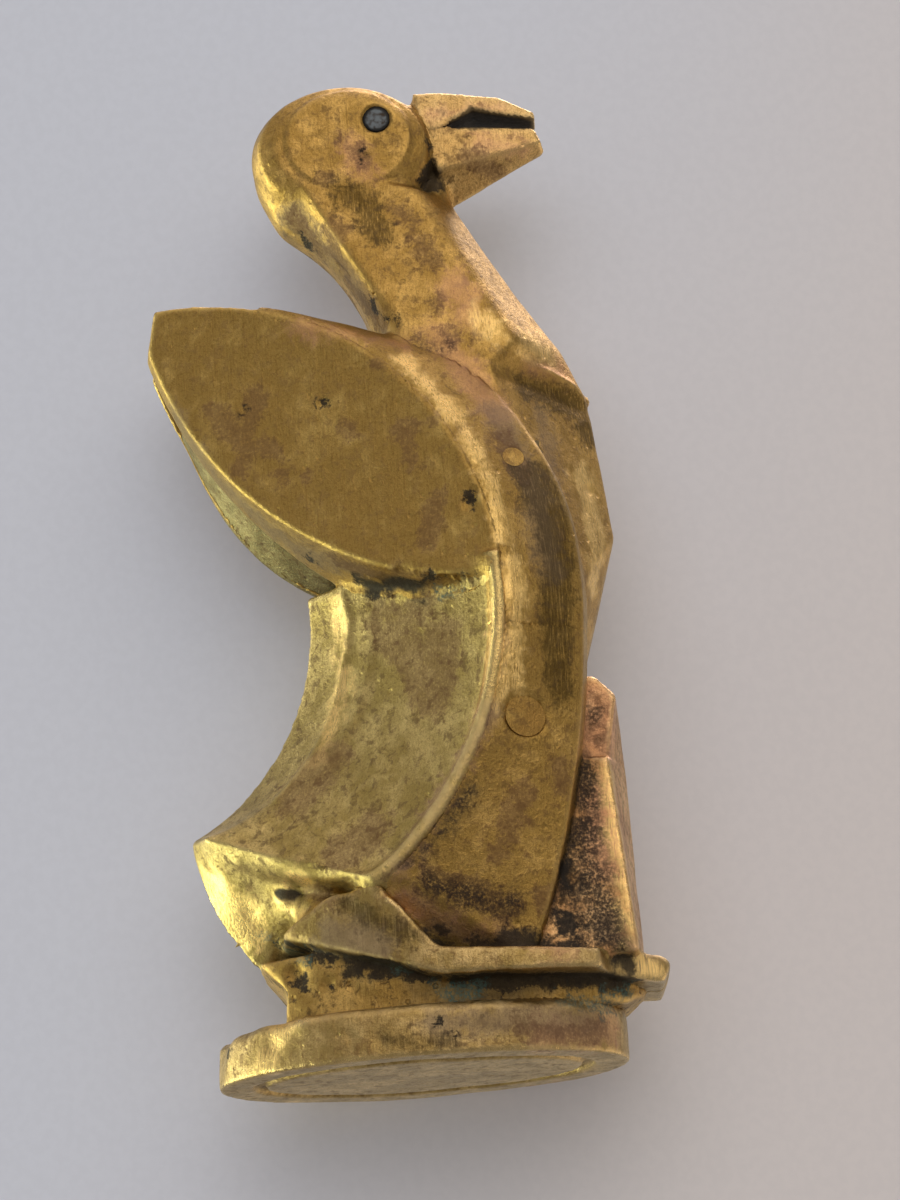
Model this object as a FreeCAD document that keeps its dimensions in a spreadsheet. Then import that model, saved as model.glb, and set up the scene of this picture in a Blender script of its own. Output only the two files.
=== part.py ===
import FreeCAD, Part
import Sketcher
import math
import os

# A small cast brass bird that stands upright on an oval plinth. +Z is up, the bill points to +X, the
# bird's right side is -Y, and the origin is the middle of the plinth's underside. Both sides are
# alike, so each right-hand piece is drawn once and mirrored for the left.

# Driving sizes in mm (angles in degrees). Heights named *_rise are measured from the datum that the
# piece stands on: the plinth's top, the foot's seat on the ground, or the top of the foot.
SIZES = [
    ("plinth_length", 42.0, "oval plinth along X"),
    ("plinth_width", 29.0, "oval plinth along Y"),
    ("plinth_height", 5.2, "underside to top"),
    ("plinth_edge", 0.7, "bevel of the plinth's top edge"),
    ("border_length", 35.0, "outside of the border groove under the plinth"),
    ("border_width", 22.0, "outside of the border groove, across"),
    ("border_line", 1.3, "breadth of the border groove"),
    ("border_depth", 0.7, "depth of the border groove"),

    ("ground_height", 2.6, "plinth's top to the foot's seat"),
    ("ground_length", 42.0, "carved ground in plan"),
    ("ground_width", 23.0, "carved ground in plan, across"),
    ("ground_forward", 2.2, "middle of the ground ahead of the plinth's middle"),
    ("ground_back", 13.3, "back face of the ground behind the middle"),
    ("ground_back_rise", 3.4, "upright part of that back face"),
    ("ground_tail_back", 16.0, "where the ground meets the tail, behind the middle"),
    ("ground_tail_rise", 6.8, "height of that meeting above the plinth"),
    ("ground_tail_front", 3.0, "front end of the high part of the ground, behind the middle"),
    ("ground_foot_front", 21.0, "foot of the ground's front face"),
    ("ground_lip_front", 22.6, "bend of that face under the toe"),
    ("ground_lip_rise", 0.9, "height of that bend above the plinth"),
    ("ground_front", 24.6, "front lip of the ground"),
    ("ground_front_rise", 1.7, "height of that lip above the plinth"),

    ("foot_height", 2.9, "thickness of the foot's plate"),
    ("foot_gap", 0.2, "split between the two feet"),
    ("heel_back", 13.4, "back tip of the heel"),
    ("heel_low_rise", 5.9, "lower corner of the heel above the foot's seat"),
    ("heel_high_rise", 6.7, "upper corner of the heel"),
    ("wedge_back", 8.0, "top of the heel wedge, back end"),
    ("wedge_front", 3.0, "top of the heel wedge, front end"),
    ("wedge_rise", 9.7, "top of the heel wedge above the foot's seat"),
    ("instep_back", 2.8, "where the wedge's slope meets the plate"),
    ("sole_back", 3.0, "where the flat sole starts"),
    ("instep_front", 18.6, "front of the wide plate"),
    ("toe_root", 19.5, "back of the narrow toe"),
    ("toe_reach", 26.0, "tip of the toe"),
    ("toe_rise", 2.0, "top of the toe and of the plate's front above the foot's seat"),
    ("toe_droop", 0.9, "underside of the toe's tip below the foot's seat"),
    ("toe_round", 0.9, "slope of the toe's end"),
    ("heel_half_width", 8.4, "foot's half width at the heel"),
    ("plate_half_width", 12.2, "foot's half width at the front of the plate"),
    ("plate_side_radius", 33.0, "bow of the foot's outer side in plan"),
    ("toe_half_width", 8.0, "half width at the toe's root"),
    ("toe_tip_half_width", 5.6, "half width at the toe's tip"),

    ("leg_gap", 0.2, "split between the two legs"),
    ("leg_back", 10.5, "back of the legs, inside the body"),
    ("let_in", 1.2, "how far legs and flanks run down into the feet's slope"),
    ("shank_rise", 19.7, "height of the shanks"),
    ("shank_front_low", 23.5, "keel of the shank at its foot"),
    ("shank_front_high", 23.3, "keel of the shank at its top"),
    ("shank_side_front_low", 22.7, "near corner of the shank at its foot"),
    ("shank_side_front_high", 21.3, "near corner of the shank at its top"),
    ("shank_half_width", 7.7, "half width of the shanks at the top"),
    ("shank_flare", 5.0, "how far the shanks' sides lean out, degrees"),
    ("knee_rise", 28.6, "top of the knees"),
    ("knee_half_width", 6.2, "half width of the knees"),
    ("knee_front", 22.9, "foremost corner of the knee"),
    ("knee_corner_rise", 26.4, "height of that corner"),
    ("knee_top_front", 20.6, "front of the knee's top"),

    ("core_cover", 2.0, "how far the inner body's sides lie inside the mantle's front edge"),
    ("rump_half_width", 3.6, "half width of its back part, between wings and in the tail"),
    ("core_step_front", 1.5, "where the full width starts"),
    ("core_step_top_rise", 64.5, "top of the full width's back"),
    ("core_back_low", 2.0, "back of the inner body at the bottom"),
    ("core_front_low", 12.0, "front of the inner body at the bottom"),
    ("belly_rise", 29.0, "belly, where the breast starts"),
    ("belly_front", 13.0, "belly's front"),
    ("core_front_high", 17.0, "front of the inner body inside the breast"),
    ("core_step_rise", 33.0, "start of that front"),
    ("core_shoulder_rise", 54.0, "top of that front"),
    ("core_neck_front", 6.0, "front of the inner body's top"),
    ("core_neck_rise", 61.0, "height of that point"),
    ("core_top_back", 0.6, "back corner of the inner body's top, ahead of the middle"),
    ("core_top_rise", 65.5, "top of the inner body"),
    ("rump_back", 4.8, "back of the inner body where the tail starts"),
    ("rump_rise", 41.6, "height of that point"),

    ("keel_half_width", 1.4, "flat land of the breast's keel"),
    ("breast_tuck", 0.3, "how far the breast's sides lie inside the mantle's front edge"),
    ("breast_low_rise", 30.5, "bottom of the breast"),
    ("breast_low_front", 19.8, "keel at the bottom of the breast"),
    ("breast_nose_rise", 44.8, "foremost point of the breast"),
    ("breast_nose_front", 24.2, "reach of that point"),
    ("breast_top_rise", 60.3, "top of the keel, where the neck starts"),
    ("breast_top_front", 22.7, "reach of the keel's top"),
    ("breast_side_low_front", 18.0, "side corner at the bottom of the breast"),
    ("breast_side_nose_front", 19.0, "side corner under the breast facet"),
    ("breast_side_nose_rise", 36.0, "height of that corner"),
    ("breast_side_top_front", 12.4, "side corner at the top of the breast facet"),
    ("breast_side_top_rise", 62.8, "height of that corner"),
    ("breast_inner_back", 8.0, "inside end of the breast"),

    ("nape_low_front", 0.6, "foot of the nape"),
    ("nape_low_rise", 66.0, "height of that point"),
    ("nape_high_back", 9.0, "top of the nape"),
    ("nape_high_rise", 82.2, "height of that point"),
    ("nape_radius", 18.4, "hollow of the nape"),
    ("nape_top_back", 11.3, "where the nape runs out on the head"),
    ("nape_top_rise", 87.4, "height of that point"),
    ("cheek_meet_back", 7.2, "where the nape's bevel meets the cheek"),
    ("throat_high_front", 9.6, "top of the throat"),
    ("throat_high_rise", 84.5, "height of that point"),
    ("throat_low_front", 20.3, "where the throat turns into the breast"),
    ("throat_low_rise", 66.1, "height of that point"),
    ("throat_radius", 125.0, "slight hollow of the throat"),
    ("throat_side_front", 15.8, "foot of the bevel beside the throat"),
    ("throat_side_rise", 65.2, "height of that point"),
    ("neck_inner_rise", 58.0, "lower inside end of the neck"),
    ("neck_keel_half_width", 1.8, "narrow land down the throat and the nape"),
    ("neck_set_in", 0.4, "how far the neck's sides lie inside the mantle's front edge at their foot"),
    ("neck_narrowing", 8.1, "how far the neck's sides lean in, degrees"),
    ("neck_edge", 3.1, "breadth of the long bevels beside throat and nape"),

    ("head_length", 20.1, "head's disc along X"),
    ("head_height", 16.2, "head's disc, height"),
    ("head_forward", -1.35, "middle of the disc"),
    ("head_rise", 89.8, "height of the disc's middle"),
    ("cheek_length", 14.3, "flat oval cheek along X"),
    ("cheek_height", 10.7, "flat oval cheek, height"),
    ("head_half_width", 6.3, "half width of the head"),
    ("head_flat", 2.8, "half width of the disc's full outline"),
    ("head_bevel", 5.3, "half width where the rim's bevel turns over to the cheek"),
    ("head_bevel_drop", 1.8, "smaller outline there"),

    ("eye_forward", 2.5, "middle of the eye"),
    ("eye_rise", 92.4, "height of the eye"),
    ("eye_radius", 1.3, "eye stud"),
    ("eye_depth", 2.2, "depth of the eye's hole"),
    ("eye_sunk", 0.2, "how far the stud lies under the cheek"),

    ("bill_root_top_front", 6.2, "top of the bill's root"),
    ("bill_root_top_rise", 96.4, "height of that point"),
    ("bill_root_mid_front", 7.9, "root where the bill's halves meet"),
    ("bill_mid_rise", 91.7, "height of that line"),
    ("bill_root_low_front", 9.6, "bottom of the root"),
    ("bill_root_low_rise", 83.6, "height of that point"),
    ("bill_hump_front", 16.2, "bend of the upper bill's top"),
    ("bill_hump_rise", 95.5, "height of that bend"),
    ("bill_tip_front", 19.8, "tip of the upper bill"),
    ("bill_tip_top_rise", 93.8, "top of that tip"),
    ("bill_tip_low_rise", 92.8, "underside of that tip"),
    ("mouth_front", 13.0, "highest part of the open mouth"),
    ("mouth_rise", 94.0, "height there"),
    ("mouth_root_front", 8.8, "back end of the open mouth"),
    ("lower_bill_reach", 20.6, "tip of the lower bill"),
    ("lower_bill_tip_rise", 90.2, "underside of that tip"),
    ("lower_bill_keel_rise", 89.6, "keel at that tip"),
    ("lower_bill_side_front", 9.0, "lower edge of the bill's side at the root"),
    ("lower_bill_side_rise", 86.9, "height of that point"),
    ("bill_lap", 0.3, "how far the lower bill runs up past that line and back into the head"),
    ("bill_half_width", 4.6, "half width at the root"),
    ("bill_taper", 11.0, "how far each side runs in towards the tip, degrees"),

    ("ridge_reach", 12.0, "foremost point of the ridge down each side"),
    ("ridge_radius", 36.6, "radius of that ridge"),
    ("ridge_mid_rise", 36.2, "height of the ridge's foremost point"),
    ("ridge_half_width", 16.0, "half width of the figure at the ridge"),
    ("rim_proud", 0.5, "how far wing and tail stand out of the mantle at the ridge"),
    ("rim_land", 0.6, "narrow land of the mantle along the ridge"),
    ("rim_overlap", 0.9, "how far the mantle's blank runs in under the wing and the tail"),

    ("wing_sweep", 17.2, "how far each wing's face runs in towards the tips, degrees"),
    ("wing_gap", 5.2, "gap between the two wings"),
    ("wing_tip_back", 36.4, "wing's top corner behind the ridge, along its face"),
    ("wing_end_back", 37.3, "wing's end corner behind the ridge, along its face"),
    ("wing_end_rise", 68.2, "height of the end corner"),
    ("wing_root_rise", 37.3, "lower front corner of the face"),
    ("wing_root_back", 1.1, "that corner behind the ridge"),
    ("wing_front_rise", 39.2, "where the face's edge meets the ridge"),
    ("wing_low_radius", 43.0, "bow of the face's lower edge"),
    ("wing_inner_tip_back", 22.8, "inner outline's top corner behind the middle"),
    ("wing_inner_end_back", 24.0, "inner outline's end corner behind the middle"),
    ("wing_inner_end_rise", 67.8, "height of that corner"),
    ("wing_inner_front", 8.0, "inner outline's front, inside the body"),
    ("wing_inner_root_rise", 34.5, "lower front corner of the inner outline"),
    ("wing_inner_radius", 50.0, "bow of the inner outline's lower edge"),

    ("tail_side_rise", 40.0, "top of the tail at the ridge"),
    ("tail_top_rise", 41.0, "top of the tail at the back"),
    ("tail_lean", 4.4, "how far the sides run in towards the foot, degrees"),
    ("tail_hinge_rise", 32.5, "height where that lean starts, and the mantle's joint"),
    ("tail_side_low_rise", 6.6, "lower end of the tail's ridge"),
    ("tail_rim", 1.0, "rim of the tail's side"),
    ("tail_back_half_width", 4.6, "half width at the tail's back corners"),
    ("tail_corner_top_back", 4.6, "back corner's top behind the middle"),
    ("tail_corner_tip_back", 20.8, "back corner's tip behind the middle"),
    ("tail_corner_tip_rise", 15.0, "height of that tip"),
    ("tail_corner_radius", 21.9, "hollow of the back corner"),
    ("tail_under_back", 11.0, "bend of the tail's under edge"),
    ("tail_under_rise", 8.6, "height of that bend"),
    ("tail_back_top", 8.8, "middle of the back at the top"),
    ("tail_tip_back", 22.4, "tip of the tail"),
    ("tail_tip_rise", 15.6, "height of the tip"),
    ("tail_back_radius", 26.3, "hollow of the back"),
    ("tail_end_radius", 23.0, "bow of the tail's end down the middle"),
    ("tail_end_side_radius", 15.0, "bow of the end's lower side edges"),
    ("tail_inner_front", 7.0, "front of the tail, inside the body"),
    ("tail_foot_front", 4.0, "front of the tail's foot behind the middle"),

    ("band_set_in", 6.0, "how far the mantle's front edge lies inside the ridge"),
    ("band_sweep", 8.0, "how far that edge runs in towards the back, degrees"),
    ("band_inner", 10.6, "mantle's inner front corner"),
    ("band_reach", 19.9, "mantle's front edge at its joint"),
    ("band_high_radius", 35.0, "bow of the front edge over the breast"),
    ("band_bend_front", 9.3, "where the front edge turns over the shoulder"),
    ("band_bend_rise", 62.8, "height of that point"),
    ("band_top_radius", 60.0, "bow of the shoulder's top edge"),
    ("band_top_back", 11.4, "back end of the shoulder's top edge"),
    ("band_top_rise", 71.2, "height of that end"),
    ("band_end", 0.9, "breadth of that end"),
    ("band_low_radius", 102.0, "bow of the front edge down the flank"),
    ("band_low_front", 11.9, "front edge at the foot"),
    ("band_low_back", 2.0, "back of the flank's foot ahead of the middle"),
    ("flank_low_rise", 7.7, "lower end of the flank at the ridge"),
    ("band_bend_back", 12.0, "shoulder strip's bend behind the ridge, along the face"),
    ("band_tip_back", 24.6, "shoulder strip's end behind the ridge, along the face"),
    ("band_depth", 3.4, "thickness of the mantle behind its front edge"),

    ("leg_pin_front", 13.1, "cross pin through the flanks and the body"),
    ("leg_pin_rise", 23.0, "height of that pin"),
    ("leg_pin_diameter", 4.0, "cross pin"),
    ("shoulder_pin_front", 14.1, "cross pin through the shoulders"),
    ("shoulder_pin_rise", 51.0, "height of that pin"),
    ("shoulder_pin_diameter", 2.2, "shoulder pin"),
    ("dowel_diameter", 3.0, "dowels that hold plinth, ground, feet and legs"),
    ("dowel_front", 9.0, "dowels ahead of the middle"),
    ("dowel_spread", 9.6, "distance between the two dowels"),
    ("dowel_bury", 3.0, "how deep a dowel goes into the plinth"),
    ("dowel_rise", 7.0, "how deep a dowel goes into the body above the foot"),
    ("neck_dowel_diameter", 4.0, "dowel between body and neck"),
    ("neck_dowel_front", 6.5, "where it stands"),
    ("neck_dowel_low_rise", 48.0, "its lower end"),
    ("neck_dowel_length", 22.0, "its length"),
    ("bill_dowel_diameter", 1.8, "dowels that hold the bill's halves"),
    ("bill_dowel_back", 3.0, "their back end"),
    ("bill_dowel_length", 8.0, "their length"),
    ("upper_bill_dowel_rise", 94.7, "height of the upper one"),
    ("lower_bill_dowel_rise", 88.8, "height of the lower one"),
]


# Places worked out from the sizes, as formulas of the same sheet. The ridge is one circle, so every
# piece that meets it takes its corners from that circle.
def ridge_front(rise, change=""):
    """Distance from the ridge's foremost point to the circle at a height; negative is behind."""
    return "sqrt((ridge_radius%s)^2 - (%s - ridge_mid_rise)^2) - ridge_radius" % (change, rise)


def ridge_rise(back, change=""):
    """Height of the circle at a distance behind the ridge's foremost point."""
    return "ridge_mid_rise + sqrt((ridge_radius%s)^2 - (ridge_radius - %s)^2)" % (change, back)


RIM_OUT = " + rim_land"
RIM_IN = " - rim_overlap"
PLACES = [
    ("band_half_width", "ridge_half_width - band_set_in"),
    ("core_half_width", "band_half_width - core_cover"),
    ("neck_half_width", "band_half_width - neck_set_in"),
    ("tail_seat_rise", "ground_tail_rise - ground_height - foot_height"),
    ("upper_bill_run", "(bill_tip_front - bill_root_top_front) * tan(bill_taper)"),
    ("wing_half_gap", "wing_gap / 2"),
    ("dowel_half_spread", "dowel_spread / 2"),
    ("wing_front_back", "-(%s)" % ridge_front("wing_front_rise")),
    ("wing_tip_rise", ridge_rise("wing_tip_back")),
    ("wing_inner_front_rise", ridge_rise("(ridge_reach - wing_inner_front)")),
    ("wing_inner_tip_rise", ridge_rise("(ridge_reach + wing_inner_tip_back)")),
    ("tail_ridge_low_front", "ridge_reach + " + ridge_front("tail_side_low_rise")),
    ("tail_ridge_top_front", "ridge_reach + " + ridge_front("tail_side_rise")),
    ("rim_in_radius", "ridge_radius" + RIM_IN),
    ("rim_out_radius", "ridge_radius" + RIM_OUT),
    ("joint_in", ridge_front("tail_hinge_rise", RIM_IN)),
    ("joint_out", ridge_front("tail_hinge_rise", RIM_OUT)),
    ("bend_out_rise", ridge_rise("band_bend_back", RIM_OUT)),
    ("tip_out_rise", ridge_rise("band_tip_back", RIM_OUT)),
    ("tip_in_rise", ridge_rise("band_tip_back", RIM_IN)),
    ("flank_low_in", "ridge_reach + " + ridge_front("flank_low_rise", RIM_IN)),
    ("flank_low_out", "ridge_reach + " + ridge_front("flank_low_rise", RIM_OUT)),
]

doc = FreeCAD.newDocument("brass_bird")
sheet = doc.addObject("Spreadsheet::Sheet", "Sizes")
for row, (alias, value, note) in enumerate(SIZES, start=1):
    sheet.set("A%d" % row, note)
    sheet.set("B%d" % row, str(value))
    sheet.setAlias("B%d" % row, alias)
for row, (alias, formula) in enumerate(PLACES, start=len(SIZES) + 1):
    sheet.set("B%d" % row, "=" + formula)
    sheet.setAlias("B%d" % row, alias)
doc.recompute()


# ---- small helpers: words such as "ridge_reach - rim_land" are read from the sheet ----

def amount(words):
    """Value in mm of a sum or difference of sizes."""
    total = 0.0
    sign = 1.0
    for word in words.split():
        if word == "+":
            sign = 1.0
        elif word == "-":
            sign = -1.0
        elif word != "0":
            total += sign * float(sheet.get(word))
            sign = 1.0
    return total


def bound(words):
    """The same sum as an expression on the sheet."""
    return " ".join(w if w in ("+", "-", "0") else "Sizes." + w for w in words.split())


def new_body(name, *datum):
    """A body whose heights are measured from a stack of sizes above the underside."""
    body = doc.addObject("PartDesign::Body", name)
    if datum:
        body.setExpression("Placement.Base.z", " + ".join("Sizes." + d for d in datum))
    return body


ON_PLINTH = ("plinth_height",)
ON_GROUND = ON_PLINTH + ("ground_height",)
ON_FOOT = ON_GROUND + ("foot_height",)


def new_sketch(body, name, plane="XZ_Plane"):
    sketch = body.newObject("Sketcher::SketchObject", name)
    for feature in body.Origin.OriginFeatures:
        if feature.Role == plane:
            sketch.AttachmentSupport = [(feature, "")]
    sketch.MapMode = "FlatFace"
    return sketch


def place_sketch(sketch, offset=None, base=("0", "0"), axis=None, angle=None):
    """Moves a sketch along its normal, and turns it about an axis of its own plane."""
    if axis:
        turn = FreeCAD.Rotation(FreeCAD.Vector(*axis), 1.0)
        sketch.AttachmentOffset = FreeCAD.Placement(FreeCAD.Vector(), turn)
        sketch.setExpression("AttachmentOffset.Rotation.Angle", bound(angle))
    if base[0] != "0":
        sketch.setExpression("AttachmentOffset.Base.x", bound(base[0]))
    if base[1] != "0":
        sketch.setExpression("AttachmentOffset.Base.y", bound(base[1]))
    if offset:
        sketch.setExpression("AttachmentOffset.Base.z", bound(offset))


def arc_middle(start, end, radius, side):
    """Middle point of an arc of a given radius; side +1 bulges left of start-to-end, -1 right."""
    chord = end - start
    half = chord.Length / 2
    rise = radius - math.sqrt(radius * radius - half * half)
    left = FreeCAD.Vector(-chord.y, chord.x, 0).normalize()
    return (start + end) * 0.5 + left * (rise * side)


def pin_point(sketch, edge, end, x_words, y_words):
    """Fixes one end of an edge by its two distances from the sketch's origin."""
    for kind, axis, words in (("DistanceX", -2, x_words), ("DistanceY", -1, y_words)):
        if words == "0":
            sketch.addConstraint(Sketcher.Constraint("PointOnObject", edge, end, axis))
        else:
            index = sketch.addConstraint(Sketcher.Constraint(kind, -1, 1, edge, end, amount(words)))
            sketch.setExpression("Constraints[%d]" % index, bound(words))


def outline(sketch, corners):
    """Closed outline. A corner is (x, y) or (x, y, radius, side) when an arc leaves it."""
    points = [FreeCAD.Vector(amount(c[0]), amount(c[1]), 0) for c in corners]
    ends = []
    for i, corner in enumerate(corners):
        start = points[i]
        end = points[(i + 1) % len(points)]
        if len(corner) == 2:
            edge = sketch.addGeometry(Part.LineSegment(start, end))
        else:
            middle = arc_middle(start, end, amount(corner[2]), corner[3])
            edge = sketch.addGeometry(Part.Arc(start, middle, end))
            index = sketch.addConstraint(Sketcher.Constraint("Radius", edge, amount(corner[2])))
            sketch.setExpression("Constraints[%d]" % index, bound(corner[2]))
        first = 1 if sketch.getPoint(edge, 1).distanceToPoint(start) < 1e-4 else 2
        ends.append((edge, first, 3 - first))
        pin_point(sketch, edge, first, corner[0], corner[1])
    for i, (edge, first, last) in enumerate(ends):
        following = ends[(i + 1) % len(ends)]
        sketch.addConstraint(Sketcher.Constraint("Coincident", edge, last, following[0], following[1]))


def ellipse(sketch, length, width, centre=("0", "0")):
    """Ellipse with its axes along the sketch's axes, its two diameters bound to the sheet."""
    middle = FreeCAD.Vector(amount(centre[0]), amount(centre[1]), 0)
    along = FreeCAD.Vector(amount(length) / 2, 0, 0)
    across = FreeCAD.Vector(0, amount(width) / 2, 0)
    curve = sketch.addGeometry(Part.Ellipse(middle + along, middle + across, middle))
    sketch.exposeInternalGeometry(curve)
    long_axis = curve + 1
    short_axis = curve + 2
    pin_point(sketch, curve, 3, *centre)
    sketch.addConstraint(Sketcher.Constraint("Horizontal", long_axis))
    for axis, words in ((long_axis, length), (short_axis, width)):
        index = sketch.addConstraint(Sketcher.Constraint("Distance", axis, amount(words)))
        sketch.setExpression("Constraints[%d]" % index, bound(words))


def pad(body, sketch, length, both_ways=False, reverse=False):
    feature = body.newObject("PartDesign::Pad", sketch.Name + "_pad")
    feature.Profile = sketch
    feature.setExpression("Length", length)
    feature.SideType = "Symmetric" if both_ways else "One side"
    feature.Reversed = reverse
    return feature


def loft(body, sketches):
    feature = body.newObject("PartDesign::AdditiveLoft", sketches[0].Name + "_loft")
    feature.Profile = sketches[0]
    feature.Sections = sketches[1:]
    feature.Ruled = True
    return feature


def mirrored(name, source):
    twin = doc.addObject("Part::Mirroring", name)
    twin.Source = source
    twin.Normal = FreeCAD.Vector(0, 1, 0)
    return twin


def cylinder(name, diameter, length, axis, x="0", y="0", z="0", datum=()):
    """Round bar; axis is the direction in which it runs from its placed end."""
    bar = doc.addObject("Part::Cylinder", name)
    turn = FreeCAD.Rotation(FreeCAD.Vector(0, 0, 1), FreeCAD.Vector(*axis))
    bar.Placement = FreeCAD.Placement(FreeCAD.Vector(), turn)
    bar.setExpression("Radius", "(%s) / 2" % bound(diameter))
    bar.setExpression("Height", length)
    bar.setExpression("Placement.Base.x", bound(x))
    bar.setExpression("Placement.Base.y", bound(y))
    bar.setExpression("Placement.Base.z", " + ".join([bound(z)] + ["Sizes." + d for d in datum]))
    return bar


def common(name, first, second):
    shared = doc.addObject("Part::Common", name)
    shared.Base = first
    shared.Tool = second
    shared.Refine = True
    return shared


def fused(name, parts):
    whole = doc.addObject("Part::MultiFuse", name)
    whole.Shapes = parts
    return whole


def less(name, shape, cutters):
    """A shape less the pieces and pins that are let into it."""
    for number, cutter in enumerate(cutters, start=1):
        cut = doc.addObject("Part::Cut", "%s_cut_%d" % (name, number))
        cut.Base = shape
        cut.Tool = cutter
        cut.Refine = True
        shape = cut
    return shape


SUBPARTS = []


def subpart(label, shape, cutters=()):
    """A finished piece under the name of its file."""
    piece = less(label, shape, cutters)
    piece.Label = label
    SUBPARTS.append(piece)


# ---- plinth: oval disc with a plain border groove under it ----

def build_plinth():
    body = new_body("plinth_body")
    ovals = []
    for height, bevel in (("0", ""), ("plinth_height - plinth_edge", ""),
                          ("plinth_height", " - plinth_edge - plinth_edge")):
        oval = new_sketch(body, "plinth_oval", "XY_Plane")
        place_sketch(oval, height if height != "0" else None)
        ellipse(oval, "plinth_length" + bevel, "plinth_width" + bevel)
        ovals.append(oval)
    loft(body, ovals)
    doc.recompute()
    ring = new_sketch(body, "border_ring", "XY_Plane")
    ellipse(ring, "border_length", "border_width")
    ellipse(ring, "border_length - border_line - border_line", "border_width - border_line - border_line")
    groove = body.newObject("PartDesign::Pocket", "border_groove")
    groove.Profile = ring
    groove.setExpression("Length", "Sizes.border_depth")
    groove.Reversed = True
    return body


# ---- feet: side profile and plan profile of one foot, the other mirrored ----

def build_foot():
    side_body = new_body("foot_side", *ON_GROUND)
    side = new_sketch(side_body, "foot_side_outline")
    outline(side, [
        ("- heel_back", "heel_low_rise"), ("sole_back", "0"), ("instep_front", "0"),
        ("toe_reach - toe_round", "- toe_droop"), ("toe_reach", "toe_rise - toe_round"),
        ("toe_reach - toe_round", "toe_rise"), ("instep_front", "toe_rise"),
        ("instep_back", "foot_height"),
        ("- wedge_front", "wedge_rise"), ("- wedge_back", "wedge_rise"),
        ("- heel_back", "heel_high_rise")])
    pad(side_body, side, "Sizes.ridge_half_width")
    plan_body = new_body("foot_plan")
    plan = new_sketch(plan_body, "foot_plan_outline", "XY_Plane")
    edge = "- foot_gap"
    outline(plan, [
        ("- heel_back - toe_round", edge), ("- heel_back", "- heel_half_width", "plate_side_radius", -1),
        ("instep_front", "- plate_half_width"), ("toe_root", "- toe_half_width"),
        ("toe_reach", "- toe_tip_half_width"), ("toe_reach + toe_round", edge)])
    pad(plan_body, plan, "Sizes.plinth_height + Sizes.ground_height + 2 * Sizes.wedge_rise")
    return common("foot_blank", side_body, plan_body)


# ---- legs: shank and knee of one leg, each a ruled form from its keel to its flat side ----

def build_leg():
    body = new_body("leg_body", *ON_FOOT)
    keel = new_sketch(body, "shank_keel")
    place_sketch(keel, "leg_gap")
    outline(keel, [
        ("leg_back", "- let_in"), ("shank_front_low", "- let_in"), ("shank_front_high", "shank_rise"),
        ("leg_back", "shank_rise")])
    side = new_sketch(body, "shank_side")
    place_sketch(side, "shank_half_width", ("0", "shank_rise"), (1, 0, 0), "- shank_flare")
    outline(side, [
        ("leg_back", "- let_in - shank_rise"), ("shank_side_front_low", "- let_in - shank_rise"),
        ("shank_side_front_high", "0"), ("leg_back", "0")])
    loft(body, [keel, side])
    knee = new_sketch(body, "knee_keel")
    place_sketch(knee, "leg_gap")
    outline(knee, [
        ("leg_back", "shank_rise"), ("shank_front_high", "shank_rise"), ("knee_front", "knee_corner_rise"),
        ("knee_top_front", "knee_rise"), ("leg_back", "knee_rise")])
    knee_side = new_sketch(body, "knee_side")
    place_sketch(knee_side, "knee_half_width")
    outline(knee_side, [
        ("leg_back", "shank_rise"), ("shank_side_front_high", "shank_rise"),
        ("knee_front - leg_gap", "knee_corner_rise"), ("knee_top_front", "knee_rise"),
        ("leg_back", "knee_rise")])
    loft(body, [knee, knee_side])
    return body


# ---- inner body: the plain block that carries wings, mantle, tail, breast and legs ----

def build_core():
    body = new_body("core_body", *ON_FOOT)
    front = new_sketch(body, "core_front")
    outline(front, [
        ("core_step_front", "0"), ("core_front_low", "0"), ("belly_front", "belly_rise"),
        ("core_front_high", "core_step_rise"), ("core_front_high", "core_shoulder_rise"),
        ("core_neck_front", "core_neck_rise"), ("core_step_front", "core_step_top_rise")])
    pad(body, front, "2 * Sizes.core_half_width", both_ways=True)
    rump = new_sketch(body, "core_rump")
    outline(rump, [
        ("- core_back_low", "0"), ("core_neck_front", "0"), ("core_neck_front", "core_neck_rise"),
        ("core_top_back", "core_top_rise"), ("- rump_back", "rump_rise"),
        ("- core_back_low", "tail_hinge_rise")])
    pad(body, rump, "2 * Sizes.rump_half_width", both_ways=True)
    return body


# ---- breast, neck and head: one casting; keel sections at the middle, flat sides outside ----

def breast_side(body, name, offset, sweep):
    side = new_sketch(body, name)
    place_sketch(side, offset, ("ridge_reach", "0"), (0, 1, 0), sweep)
    back = " - ridge_reach"
    outline(side, [
        ("breast_inner_back" + back, "breast_low_rise"), ("breast_side_low_front" + back, "breast_low_rise"),
        ("breast_side_nose_front" + back, "breast_side_nose_rise"),
        ("breast_side_top_front" + back, "breast_side_top_rise"),
        ("breast_inner_back" + back, "breast_side_top_rise")])
    return side


def breast_keel(body, name, offset):
    keel = new_sketch(body, name)
    place_sketch(keel, offset)
    outline(keel, [
        ("breast_inner_back", "breast_low_rise"), ("breast_low_front", "breast_low_rise"),
        ("breast_nose_front", "breast_nose_rise"), ("breast_top_front", "breast_top_rise"),
        ("breast_inner_back", "breast_side_top_rise")])
    return keel


def build_breast():
    body = new_body("breast_body", *ON_FOOT)
    loft(body, [breast_side(body, "breast_right", "band_half_width - breast_tuck", "- band_sweep"),
                breast_keel(body, "breast_keel_right", "keel_half_width"),
                breast_keel(body, "breast_keel_left", "- keel_half_width"),
                breast_side(body, "breast_left", "- band_half_width + breast_tuck", "band_sweep")])
    return body


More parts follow.
